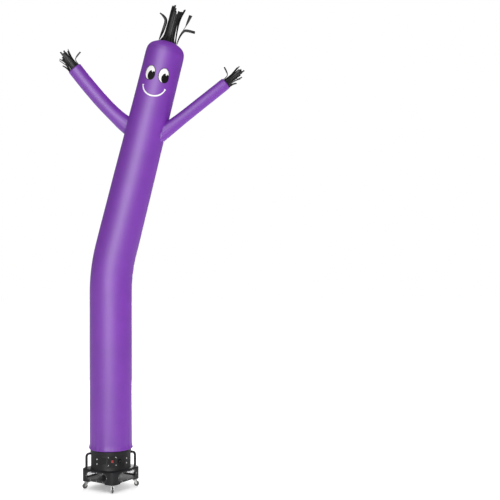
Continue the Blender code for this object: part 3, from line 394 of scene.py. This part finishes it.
def tube_frame(along):
    """Centre, across and up directions of the body tube, counted along its axis from the bend."""
    reach = BEND_R * math.tan(LEAN / 2)
    start = BEND_HEIGHT - reach
    if along <= -reach:
        turn, centre = 0.0, Vector((0, 0, BEND_HEIGHT + along))
    elif along < reach:
        turn = (along + reach) / (2 * reach) * LEAN
        centre = Vector((BEND_R * (1 - math.cos(turn)), 0, start + BEND_R * math.sin(turn)))
    else:
        turn = LEAN
        centre = Vector((0, 0, BEND_HEIGHT)) + Vector((math.sin(LEAN), 0, math.cos(LEAN))) * along
    return centre, Vector((math.cos(turn), 0, -math.sin(turn))), Vector((math.sin(turn), 0, math.cos(turn)))


HEM_ROWS = [(height - BEND_HEIGHT, radius) for height, radius in HEM]
DOME_ROWS = [(AXIS_LENGTH - drop, radius) for drop, radius in DOME]


def body_radius(along):
    """Radius of the body tube, from the hem's fold through the slow taper to the dome."""
    if along < HEM_ROWS[-2][0]:
        return smooth(HEM_ROWS, along)
    if along > DOME_ROWS[0][0]:
        return smooth(DOME_ROWS, along)
    share = min(1.0, max(0.0, (along - TAPER_FROM) / (TAPER_TO - TAPER_FROM)))
    return TUBE_R + (HEAD_R - TUBE_R) * share


def ridge(distance, width):
    """A soft bump of height 1 that dies away within about this width."""
    return math.exp(-(distance / width) ** 2)


def fold(angle, along):
    """How far the cloth stands out of its smooth round shape: gathers above the band, soft creases inside the
    bend, a flat seam down the back and one round the shoulder, and a slight unevenness all over."""
    rise = along + BEND_HEIGHT - HEM[0][0]
    out = 0.0
    if rise < GATHER_END:
        hold = min(1.0, rise / GATHER_START)
        for fade, depth, count, sway, sway_count, shift in GATHERS:
            wave = math.cos(count * angle + sway * math.sin(sway_count * angle + shift))
            out += hold * math.exp(-rise / fade) * depth * wave
    inner = (angle + math.pi) % math.tau - math.pi
    for spot, deep in CREASES:
        bow = along - spot + CREASE_BOW * inner * inner
        out -= CREASE_DEPTH * deep * ridge(inner, CREASE_SPREAD) * ridge(bow, CREASE_WIDTH)
    back = (angle - math.pi / 2 + math.pi) % math.tau - math.pi
    out += BACK_SEAM_HEIGHT * ridge(back * TUBE_R, BACK_SEAM_WIDTH)
    out -= DOME_SEAM_DEPTH * ridge(AXIS_LENGTH - along - DOME_SEAM_DROP, DOME_SEAM_WIDTH)
    if along < AXIS_LENGTH - EVEN_CROWN:
        out += UNEVENNESS * noise.noise(Vector((math.cos(angle), math.sin(angle), along * 1.4)) * 1.7)
    return out


def on_body(angle, along, lift=0.0):
    """A point of the body's cloth, or this far above it."""
    centre, across, _ = tube_frame(along)
    out = across * math.cos(angle) + Y * math.sin(angle)
    return centre + out * (body_radius(along) + fold(angle, along) + lift)


def arm_curve(arm, share):
    """Centre and direction of an arm, from its hand at 0 to its root at 1."""
    _, depth, hand, bend, root, _ = arm
    rest = 1 - share
    point = [rest * rest * a + 2 * rest * share * b + share * share * c for a, b, c in zip(hand, bend, root)]
    way = [rest * (b - a) + share * (c - b) for a, b, c in zip(hand, bend, root)]
    return Vector((point[0], depth, point[1])), Vector((way[0], 0, way[1])).normalized()


def arm_radius(arm, share):
    """Radius of an arm, which widens a little to its middle and more towards its root."""
    hand, middle, root = arm[5]
    if share < ARM_MIDDLE:
        return hand + (middle - hand) * share / ARM_MIDDLE
    return middle + (root - middle) * ((share - ARM_MIDDLE) / (1 - ARM_MIDDLE)) ** 2


def to_body(point, way, lift):
    """Moves a point along an arm's direction until it is this far off the body's round shape, by halving the
    span that holds the place."""
    start = Vector((0, 0, BEND_HEIGHT))
    up = Vector((math.sin(LEAN), 0, math.cos(LEAN)))
    low, high = -LANDING_SPAN, LANDING_SPAN
    for _ in range(LANDING_HALVINGS):
        middle = (low + high) / 2
        offset = point + way * middle - start
        along = offset.dot(up)
        outside = (offset - up * along).length - body_radius(along) - lift
        low, high = (middle, high) if outside > 0 else (low, middle)
    return point + way * low


def in_arm_hole(point):
    """Whether a point of the body's cloth lies where an arm opens into it."""
    for arm in ARMS:
        centre, way = arm_curve(arm, 1.0)
        offset = point - centre
        along = offset.dot(way)
        away = (offset - way * along).length
        if abs(along) < ARM_HOLE_REACH and away < arm_radius(arm, 1.0) - ARM_HOLE_INSET:
            return True
    return False


def make_body():
    """The body's cloth from the hem to the dome, thickened inwards, with a hole behind each arm."""
    stops = [low + (high - low) * k / count for low, high, count in BODY_SPANS for k in range(count)]
    stops.append(BODY_SPANS[-1][1])
    rows = len(stops) - 1
    bm = bmesh.new()
    wrapped_grid(
        bm, BODY_COLUMNS, rows,
        lambda u, v: on_body(u * math.tau + math.pi / 2, stops[round(v * rows)]),
        lambda u, v: (u * math.tau * TUBE_R, stops[round(v * rows)]),
    )
    bmesh.ops.remove_doubles(bm, verts=bm.verts, dist=1e-6)
    holes = [f for f in bm.faces if in_arm_hole(f.calc_center_median())]
    bmesh.ops.delete(bm, geom=holes, context="FACES")
    item = piece("body_cloth", bm, PURPLE, hides=["body_tube"], sharp=60)
    return thicken(item, CLOTH, -1)


def sleeve_point(arm, turn, share):
    """A point of a sleeve's cloth: softly uneven, drawn in at its hem, seamed along one side, and gathered
    where it meets the body."""
    angle = turn * math.tau
    centre, way = arm_curve(arm, share)
    side = Y.cross(way)
    gather, fade, count = SLEEVE_GATHERS
    hem, hem_depth, hem_width = SLEEVE_HEM
    radius = arm_radius(arm, share)
    radius += gather * math.exp((share - 1) / fade) * math.cos(count * angle + math.sin(3 * angle))
    radius += SLEEVE_UNEVENNESS * noise.noise(Vector((math.cos(angle), math.sin(angle), share * 6)) * 1.6)
    radius -= hem_depth * ridge(share - hem, hem_width)
    radius += SLEEVE_SEAM_HEIGHT * ridge((turn - 0.5) * math.tau * radius, SLEEVE_SEAM_WIDTH)
    point = centre + (side * math.cos(angle) + Y * math.sin(angle)) * radius
    if share > SLEEVE_LANDING:
        landed = to_body(point, way, -SLEEVE_SINK)
        point = point.lerp(landed, ((share - SLEEVE_LANDING) / (1 - SLEEVE_LANDING)) ** 3)
    return point


def make_arm(arm):
    """A sleeve, thickened inwards. Its rows lie a little closer together in its middle than at its ends."""
    name, hand_r = arm[0], arm[5][0]

    def place(u, v):
        share = v + ROW_SHIFT * math.sin(math.tau * v) * (1 if v < 0.5 else ROOT_ROW_SHIFT)
        return sleeve_point(arm, u, share)

    length = (arm_curve(arm, 1.0)[0] - arm_curve(arm, 0.0)[0]).length
    bm = bmesh.new()
    wrapped_grid(bm, SLEEVE_COLUMNS, SLEEVE_ROWS, place, lambda u, v: (u * math.tau * hand_r, v * length))
    bmesh.ops.remove_doubles(bm, verts=bm.verts, dist=1e-6)
    bmesh.ops.recalc_face_normals(bm, faces=bm.faces)
    item = piece("sleeve_" + name, bm, PURPLE, hides=["arm_" + name], sharp=60)
    return thicken(item, CLOTH, -1)


def tuft(name, centre, axes, ring_r, strips, hides, seed, fill):
    """Strips of cloth that rise from a sewn ring. Each follows a smooth curve through its sections, cupped a
    little across its width and waving along its length; shorter ones fill the middle."""
    across, depth, up = axes
    fill_turn, fill_share, fill_inset = fill
    strips = [
        (degrees, twist, [(h / 1000, a / 1000, w / 1000) for h, a, w in sections])
        for degrees, twist, sections in strips
    ]
    layers = [(degrees, twist, sections, 0.0) for degrees, twist, sections in strips]
    layers += [
        (
            degrees + fill_turn, 0,
            [(h * fill_share, a - fill_inset, w * FILL_WIDTH) for h, a, w in sections], FILL_SHIFT
        )
        for degrees, twist, sections in strips if not twist
    ]
    bm = bmesh.new()
    area = 0.0
    for number, (degrees, full_twist, sections, shift) in enumerate(layers):
        angle = math.radians(degrees)
        out = across * math.cos(angle) + depth * math.sin(angle)
        round_way = up.cross(out)
        path = [(0.0, Vector((STRIP_ROOT, 0.0, sections[0][2])))]
        for height, away, width in sections:
            last = path[-1]
            here = Vector((height, away, width))
            path.append((last[0] + math.hypot(height - last[1][0], away - last[1][1]), here))
        total = path[-1][0]
        wave = noise.noise(Vector((number * 3.7, seed, 0.5))) * math.pi

        def place(u, v):
            height, away, width = smooth(path, v * total)
            ahead = smooth(path, min(1.0, v + 0.01) * total) - smooth(path, max(0.0, v - 0.01) * total)
            slope = math.atan2(ahead[1], ahead[0])
            face_way = out * math.cos(slope) - up * math.sin(slope)
            turn = math.radians(full_twist) * min(1.0, v * total / max(0.05, path[2][0]))
            turn += STRIP_TWIST * math.sin(5 * v + wave)
            wide = round_way * math.cos(turn) + face_way * math.sin(turn)
            thick = face_way * math.cos(turn) - round_way * math.sin(turn)
            ripple = STRIP_RIPPLE * v * math.sin(9 * v + wave + shift)
            cup = STRIP_CUP * width * (4 * (u - 0.5) ** 2 - 0.33) * math.cos(wave)
            middle = centre + out * (ring_r - STRIP_INSET + away) + up * height
            return middle + wide * (u - 0.5) * width + thick * (ripple + cup)

        made = wrapped_grid(bm, 4, 22, place, lambda u, v: (number * 0.05 + u * sections[0][2], v * total))
        area += sum(f.calc_area() for f in {f for v in made for f in v.link_faces})
    item = piece(name, bm, BLACK, hides=hides, sharp=60)
    thicken(item, STRIP_CLOTH, 0)
    return item


def make_hair():
    """The hair, sewn inside the vent in the top of the head."""
    centre, across, up = tube_frame(AXIS_LENGTH - DOME[-1][0] + HAIR_RING_RISE)
    return tuft("hair_strips", centre, (across, Y, up), HAIR_RING_R, HAIR, ["hair"], 1.5, HAIR_FILL)


def trimmed(height):
    """A height on one of the left hand's strips, which are cut shorter than the right hand's."""
    return min(height, LEFT_TRIM_FROM + max(0, height - LEFT_TRIM_FROM) * LEFT_TRIM_SHARE)


def make_hand(arm):
    """The streamers of one hand, sewn inside the sleeve's open end, with their curled strip uppermost."""
    centre, way = arm_curve(arm, 0.0)
    up = -way
    depth = -Y
    across = up.cross(depth)
    if across.z < 0:
        depth, across = -depth, -across
    # Just inside the flats of the solid sleeve's wall
    ring_r = (arm[5][0] - SOLID_CLOTH) * math.cos(math.pi / SOLID_SLEEVE_SIDES) - RING_CLEARANCE
    strips = HAND
    if arm[0] == "left":
        strips = [
            (degrees, twist, [(trimmed(h), a, w) for h, a, w in sections])
            for degrees, twist, sections in HAND
        ]
    return tuft("hand_strips_" + arm[0], centre - up * HAND_INSET, (depth, across, up), ring_r, strips,
                ["streamers_" + arm[0]], 4.5 if arm[0] == "left" else 7.5, HAND_FILL)


def on_head(turn, drop, lift):
    """A point above the head's cloth, from its turn off the front and its drop below the top of the head."""
    return on_body(turn - math.pi / 2, AXIS_LENGTH - drop, lift)


def oval_point(middle, size, share, angle, tilt, notch):
    """A point of a tilted oval, which may dip inwards at the glint, as a turn and a drop."""
    off = abs((angle - GLINT_TURN + math.pi) % math.tau - math.pi)
    reach = share * (1 - notch * share * max(0.0, 1 - off / (GLINT_WIDTH / 2)))
    across = size[0] / 2 * reach * math.cos(angle)
    up = size[1] / 2 * reach * math.sin(angle)
    return (
        (middle[0] + across * math.cos(tilt) - up * math.sin(tilt)) / HEAD_R,
        middle[1] - across * math.sin(tilt) - up * math.cos(tilt),
    )


def make_oval(name, node, middle, size, surface, lift, tilt=0.0, notch=0.0):
    """A cut-out of cloth, sewn flat on the head."""
    bm = bmesh.new()
    bmesh.ops.create_circle(bm, cap_ends=True, segments=OVAL_SIDES, radius=1.0)
    bmesh.ops.rotate(bm, verts=bm.verts, cent=(0, 0, 0), matrix=Matrix.Rotation(GLINT_TURN, 3, "Z"))
    for _ in range(OVAL_RINGS):
        inner = max(bm.faces, key=lambda f: len(f.verts))
        bmesh.ops.inset_individual(bm, faces=[inner], thickness=OVAL_RING_WIDTH)
    uv = bm.loops.layers.uv.new("flat")
    for face in bm.faces:
        for loop in face.loops:
            loop[uv].uv = (loop.vert.co.x * size[0] / 2, loop.vert.co.y * size[1] / 2)
    for v in bm.verts:
        share = min(1.0, v.co.length)
        angle = math.atan2(v.co.y, v.co.x)
        turn, drop = oval_point(middle, size, share, angle, tilt, notch)
        v.co = on_head(turn, drop, lift)
    item = piece(name, bm, surface, hides=[node], sharp=60)
    return thicken(item, PATCH_CLOTH, 1)


def make_eye_stitching(name, middle):
    """A close zigzag of black thread that covers the edge of the eye's white patch."""
    inner, outer = EYE_STITCH_LIFT

    def place(u, v):
        size = [length + (2 * v - 1) * EYE_STITCH for length in EYE_SIZE]
        turn, drop = oval_point(middle, size, 1.0, u * math.tau, 0.0, 0.0)
        return on_head(turn, drop, inner + (outer - inner) * v)

    bm = bmesh.new()
    wrapped_grid(bm, 120, 3, place, lambda u, v: (u, v))
    bmesh.ops.remove_doubles(bm, verts=bm.verts, dist=1e-6)
    bmesh.ops.recalc_face_normals(bm, faces=bm.faces)
    item = piece(name, bm, BLACK_THREAD, sharp=60)
    return thicken(item, EYE_STITCH_HEIGHT, 0)


def sew(bm, path, length):
    """Adds a row of stitches along path(share), which gives a point on the cloth and its outward way."""
    count = round(length / STITCH_PITCH)
    for k in range(count):
        (start, out), (end, _) = path(k / count), path((k + 0.1) / count)
        ahead = (end - start).normalized()
        side = out.cross(ahead).normalized()
        turn = Matrix((ahead, side, ahead.cross(side))).transposed()
        shape = Matrix.Diagonal(STITCH).to_4x4()
        bmesh.ops.create_cube(bm, size=1.0, matrix=Matrix.Translation(start) @ turn.to_4x4() @ shape)


def make_seams():
    """Stitching of the body: a row round the hem, two round the dome, and two up the felled back seam."""
    def round_body(along):
        def path(share):
            centre, _, _ = tube_frame(along)
            spot = on_body(share * math.tau, along)
            return spot, (spot - centre).normalized()
        return path

    def up_back(turn):
        low, high = HEM_ROWS[2][0] + BACK_STITCH_RISE, AXIS_LENGTH - BACK_STITCH_DROP
        return lambda share: (on_body(math.pi / 2 + turn, low + (high - low) * share), Y)

    bm = bmesh.new()
    sew(bm, round_body(HEM_ROWS[3][0] + HEM_STITCH_RISE), math.tau * TUBE_R)
    for drop in DOME_STITCH_DROPS:
        sew(bm, round_body(AXIS_LENGTH - drop), math.tau * TUBE_R)
    for turn in (-BACK_STITCH_TURN, BACK_STITCH_TURN):
        sew(bm, up_back(turn), BACK_STITCH_LENGTH)
    piece("body_stitching", bm, PURPLE_THREAD)


def make_sleeve_seams(arm):
    """Stitching of a sleeve: one row round its open hem and one where it is sewn to the body."""
    def ring(share):
        def path(turn):
            centre, _ = arm_curve(arm, share)
            spot = sleeve_point(arm, turn, share)
            return spot, (spot - centre).normalized()
        return path

    bm = bmesh.new()
    for share in SLEEVE_STITCH_PLACES:
        sew(bm, ring(share), math.tau * arm_radius(arm, share))
    piece("sleeve_stitching_" + arm[0], bm, PURPLE_THREAD)


def make_mouth():
    """The smile: an arc of white cloth that ends in two small flares with rounded tips."""
    def place(u, v):
        share = 2 * u - 1
        angle = share * MOUTH_SWEEP
        width = MOUTH_END_WIDTH + (MOUTH_WIDTH - MOUTH_END_WIDTH) * math.cos(share * math.pi / 2)
        width += MOUTH_FLARE * ridge(abs(share) - MOUTH_FLARE_AT, MOUTH_FLARE_WIDTH)
        end = max(0.0, (abs(share) - MOUTH_ROUND_FROM) / (1 - MOUTH_ROUND_FROM))
        width *= math.sqrt(max(0.0, 1 - end * end)) * 0.98 + 0.02
        reach = MOUTH_R + (v - 0.5) * width
        across = MOUTH_TURN * HEAD_R + reach * math.sin(angle)
        return on_head(across / HEAD_R, MOUTH_DROP + reach * math.cos(angle), MOUTH_LIFT)

    bm = bmesh.new()
    wrapped_grid(bm, 160, 4, place, lambda u, v: (u * 2 * MOUTH_SWEEP * MOUTH_R, v * MOUTH_WIDTH))
    item = piece("mouth_patch", bm, WHITE, hides=["mouth"], sharp=60)
    return thicken(item, PATCH_CLOTH, -1)


def make_face():
    """The mouth, and each eye's white patch with its zigzag and its notched pupil."""
    made = [make_mouth()]
    for name, side in (("left", -1), ("right", 1)):
        middle = ((FACE_TURN + side * EYE_TURN) * HEAD_R, EYE_DROP)
        made.append(make_oval(
            "eye_patch_" + name, "eye_white_" + name, middle, EYE_SIZE, WHITE, EYE_LIFT
        ))
        made.append(make_eye_stitching("eye_stitching_" + name, middle))
        middle = (middle[0] + PUPIL_SHIFT[0], middle[1] + PUPIL_SHIFT[1])
        made.append(make_oval(
            "pupil_patch_" + name, "pupil_" + name, middle, PUPIL_SIZE, PUPIL, PUPIL_LIFT,
            PUPIL_TILT, GLINT_DEPTH
        ))
    return made


def ease_edges(item, width, segments, angle):
    """Rounds over the edges of a piece that are sharper than this angle."""
    step = item.modifiers.new("edges", "BEVEL")
    step.width = width
    step.segments = segments
    step.limit_method = "ANGLE"
    step.angle_limit = angle
    step.use_clamp_overlap = True


def eased(node, surface, body="housing", width=0.0015, segments=2):
    """A moulded or pressed part: a copy of the solid's own shape with its corners rounded over."""
    bm = bmesh.new()
    bm.from_mesh(nodes[node].data)
    bmesh.ops.remove_doubles(bm, verts=bm.verts, dist=1e-5)
    bmesh.ops.dissolve_limit(bm, angle_limit=math.radians(0.5), verts=bm.verts, edges=bm.edges)
    item = piece(node + "_part", bm, surface, body, [node], 40)
    if width:
        ease_edges(item, width, segments, EASED_FROM)


def outward(angle):
    """The level direction that lies this far round from the housing's front."""
    return Vector((math.sin(angle + TURN), -math.cos(angle + TURN), 0))


def aimed(direction, spot):
    """Turns +Z to a direction, with +X level, at a spot."""
    side = Z.cross(direction).normalized()
    up = direction.cross(side)
    return Matrix.Translation(spot) @ Matrix((side, up, direction)).transposed().to_4x4()


def spun(bm, profile, steps):
    """Spins an (r, z) profile round Z as part of a mesh, and returns its vertices."""
    before = set(bm.verts)
    points = [bm.verts.new((r, 0, z)) for r, z in profile]
    edges = [bm.edges.new(pair) for pair in zip(points, points[1:])]
    bmesh.ops.spin(
        bm, geom=points + edges, cent=(0, 0, 0), axis=(0, 0, 1), angle=math.tau, steps=steps, use_merge=True
    )
    return [v for v in bm.verts if v not in before]


def make_screws(name, spots, scale, hides=()):
    """Zinc-plated pan heads of screws."""
    bm = bmesh.new()
    for spot, direction in spots:
        made = spun(bm, [(r * scale, z * scale) for r, z in SCREW_HEAD], 16)
        bmesh.ops.transform(bm, matrix=aimed(direction, spot), verts=made)
    bmesh.ops.remove_doubles(bm, verts=bm.verts, dist=1e-6)
    bmesh.ops.recalc_face_normals(bm, faces=bm.faces)
    piece(name, bm, ZINC, hides=hides)


def rod(bm, start, end, radius, sides=6):
    """Adds a straight length of wire."""
    way = end - start
    turn = way.to_track_quat("Z", "Y").to_matrix().to_4x4()
    bmesh.ops.create_cone(
        bm, cap_ends=True, segments=sides, radius1=radius, radius2=radius, depth=way.length,
        matrix=Matrix.Translation((start + end) / 2) @ turn
    )


def make_frame(name, place, half, end_r):
    """The pressed oval frame of a grille, with half round ends."""
    bm = bmesh.new()
    outer = bmesh.ops.create_circle(bm, cap_ends=True, segments=64, radius=end_r)["verts"]
    for v in outer:
        v.co.x += math.copysign(half - end_r, v.co.x)
    bmesh.ops.inset_individual(bm, faces=list(bm.faces), thickness=FRAME_WIDTH)
    bmesh.ops.delete(bm, geom=[f for f in bm.faces if len(f.verts) > 4], context="FACES")
    bmesh.ops.solidify(bm, geom=list(bm.faces), thickness=FRAME_THICKNESS)
    bmesh.ops.translate(bm, verts=bm.verts, vec=(0, 0, -min(v.co.z for v in bm.verts)))
    bmesh.ops.recalc_face_normals(bm, faces=bm.faces)
    bmesh.ops.transform(bm, matrix=place, verts=bm.verts)
    item = piece("grille_frame_" + name, bm, COATED, hides=["grille_" + name])
    ease_edges(item, FRAME_EDGE, 2, FRAME_EASED_FROM)


def make_mesh(name, place, half, end_r):
    """Welded wire mesh behind a frame: level wires in front, upright ones behind them."""
    inside = end_r - MESH_MARGIN
    straight = half - end_r
    level_count = math.floor(inside / MESH_PITCH)
    upright_count = math.floor((straight + inside) / MESH_PITCH)
    bm = bmesh.new()
    for k in range(-level_count, level_count + 1):
        up = k * MESH_PITCH
        reach = straight + math.sqrt(inside ** 2 - up ** 2)
        ends = [place @ Vector((side * reach, up, -LEVEL_WIRE_DEPTH)) for side in (-1, 1)]
        rod(bm, *ends, MESH_WIRE)
    for k in range(-upright_count, upright_count + 1):
        across = k * MESH_PITCH
        past = max(0.0, abs(across) - straight)
        reach = math.sqrt(inside ** 2 - past ** 2)
        ends = [place @ Vector((across, side * reach, -UPRIGHT_WIRE_DEPTH)) for side in (-1, 1)]
        rod(bm, *ends, MESH_WIRE)
    piece("wire_mesh_" + name, bm, COATED)


def make_grille(name, quarter):
    """One window's frame and mesh. Returns the places of the screws that hold them."""
    out = outward(quarter * math.pi / 4)
    place = aimed(out, out * (BASE_SIDE / 2 + GRILLE_LIFT) + Z * GRILLE_HEIGHT)
    half, end_r = GRILLE_SIZE[0] / 2, GRILLE_SIZE[1] / 2
    make_frame(name, place, half, end_r)
    make_mesh(name, place, half, end_r)
    edge, end = end_r - WINDOW_SCREW_MARGIN, half - WINDOW_SCREW_MARGIN
    spots = [(across, side * edge) for across in WINDOW_SCREW_PLACES for side in (-1, 1)]
    spots += [(side * end, 0) for side in (-1, 1)]
    return [(place @ Vector((*spot, FRAME_THICKNESS)), out) for spot in spots]


def make_housing():
    """The moulded housing with its fittings, and the small screws that the solids leave out."""
    eased("housing", SHELL, width=0.0022, segments=3)
    eased("switch_plate", GLOSSY, width=0.0010)
    eased("switch_surround", GLOSSY, width=0.0015, segments=3)
    eased("rocker", RED, "rocker", width=0.0007)
    eased("power_inlet", GLOSSY, width=0.0010)
    eased("rating_plate", GLOSSY, width=0.0003)
    eased("outlet_guard", COATED, width=0.0006)
    eased("hook_band", TAPE, width=0)
    for side in ("left", "right"):
        eased("handle_" + side, SHELL, width=0)
    spots = []
    for name, quarter in (("front_right", 1), ("back_right", 3), ("back_left", 5), ("front_left", 7)):
        spots += make_grille(name, quarter)
    make_screws("window_screws", spots, 1.0)
    spots, hidden = [], []
    for side, angle in DRUM_SCREWS:
        out = outward(math.radians(angle))
        for level, height in DRUM_SCREW_HEIGHTS:
            spots.append((out * DRUM_R + Z * height, out))
            hidden.append(f"drum_screw_{side}_{level}")
    make_screws("drum_screws", spots, DRUM_SCREW_SCALE, hidden)
    out = outward(0)
    side = Z.cross(out)
    spots = [
        (out * SWITCH_OUT + side * a * PLATE_SCREW_REACH + Z * (SWITCH_HEIGHT + b * PLATE_SCREW_REACH), out)
        for a in (-1, 1) for b in (-1, 1)
    ]
    make_screws("plate_screws", spots, PLATE_SCREW_SCALE)


def make_casters():
    """Four swivel casters, of which the front and the left one have a brake lever."""
    for name in ("front", "left", "back", "right"):
        eased("caster_plate_" + name, ZINC, width=0.0006)
        eased("caster_fork_" + name, ZINC, "fork_" + name, width=0.0006)
        eased("caster_wheel_" + name, WHEEL, "wheel_" + name, width=0.0012)
    for name in ("front", "left"):
        eased("caster_brake_" + name, GLOSSY, "brake_" + name, width=0.0008)


def make_dancer():
    """All that is cloth."""
    body = make_body()
    face = make_face()
    for arm in ARMS:
        sleeve = make_arm(arm)
        make_hand(arm)
        make_sleeve_seams(arm)
    make_hair()
    make_seams()


# Studio

FLOOR_SIZE = 40
FLOOR_GLOW = 0.30
WORLD_GLOW = 0.30
CEILING_POWER = 1.6
CEILING_ANGLE = math.radians(70)
SOFTBOXES = (  # name, place, target, size, power, then whether it lights soft colour and shows in gloss
    ("shine_softbox", (-1.6, -7.4, 4.6), (0.1, 0, 3.4), (3.6, 9.4), 1200, False, True),
    ("front_softbox", (2.6, -8.4, 3.8), (0.2, 0, 2.4), (4.0, 5.0), 340, True, False),
    ("back_softbox", (1.2, 8.0, 3.8), (0.3, 0, 2.6), (2.4, 6.5), 450, True, True),
)
CAMERA_SPOT = (0, -10.6, 2.496)
# The level camera is turned aside, so that the dancer stands at the left as in the photograph
CAMERA_TURN = math.radians(-8.258)
CAMERA_SENSOR = 36
CAMERA_LENS = 69.02
CAMERA_REACH = 200


def put(name, data, spot=(0, 0, 0), turn=(0, 0, 0)):
    """Places a mesh, a light or a camera of the studio."""
    item = bpy.data.objects.new(name, data)
    item.location = spot
    item.rotation_euler = turn
    bpy.context.scene.collection.objects.link(item)
    return item


def softbox(name, spot, target, size, power, soft, gloss):
    """A softbox, which may light only the soft colour of a surface, or show only in its gloss."""
    made = bpy.data.lights.new(name, "AREA")
    made.shape = "RECTANGLE"
    made.size, made.size_y = size
    made.energy = power
    item = put(name, made, spot, (Vector(target) - Vector(spot)).to_track_quat("-Z", "Y").to_euler())
    item.visible_camera = False
    item.visible_diffuse = soft
    item.visible_glossy = gloss


def make_studio():
    """A white floor and surroundings, three softboxes, an even light from the ceiling, and the camera."""
    bm = bmesh.new()
    bmesh.ops.create_grid(bm, x_segments=1, y_segments=1, size=FLOOR_SIZE)
    bmesh.ops.translate(bm, verts=bm.verts, vec=(0, 0, FLOOR))
    mesh = bpy.data.meshes.new("studio_floor")
    bm.to_mesh(mesh)
    bm.free()
    pale, _, _ = material(
        "pale_matt_floor", "#F6F6F6", 0.9, Emission_Color=(1, 1, 1, 1), Emission_Strength=FLOOR_GLOW
    )
    mesh.materials.append(pale)
    floor = put("studio_floor", mesh)

    for setup in SOFTBOXES:
        softbox(*setup)
    # An even light from the ceiling whitens the whole floor and barely touches the upright tube
    ceiling = bpy.data.lights.new("ceiling_light", "SUN")
    ceiling.energy = CEILING_POWER
    ceiling.angle = CEILING_ANGLE
    put("ceiling_light", ceiling).visible_glossy = False

    world = bpy.data.worlds.new("studio")
    world.use_nodes = True
    tree = world.node_tree
    tree.nodes.clear()
    # Pure white to the camera, and a dimmer, even light on the dancer
    seen = add(tree, "LightPath").outputs["Is Camera Ray"]
    glow = add(tree, "Mix", {2: WORLD_GLOW, 3: 1.0}, {0: seen}, data_type="FLOAT")
    back = add(tree, "Background", {"Color": (1, 1, 1, 1)}, {"Strength": glow.outputs[0]})
    add(tree, "OutputWorld", links={"Surface": back.outputs[0]})
    bpy.context.scene.world = world

    camera = bpy.data.cameras.new("camera")
    camera.sensor_width = CAMERA_SENSOR
    camera.lens = CAMERA_LENS
    camera.clip_end = CAMERA_REACH
    bpy.context.scene.camera = put("camera", camera, CAMERA_SPOT, (math.radians(90), 0, CAMERA_TURN))
    bpy.context.scene.view_settings.view_transform = "Standard"


make_dancer()
make_housing()
make_casters()
make_studio()
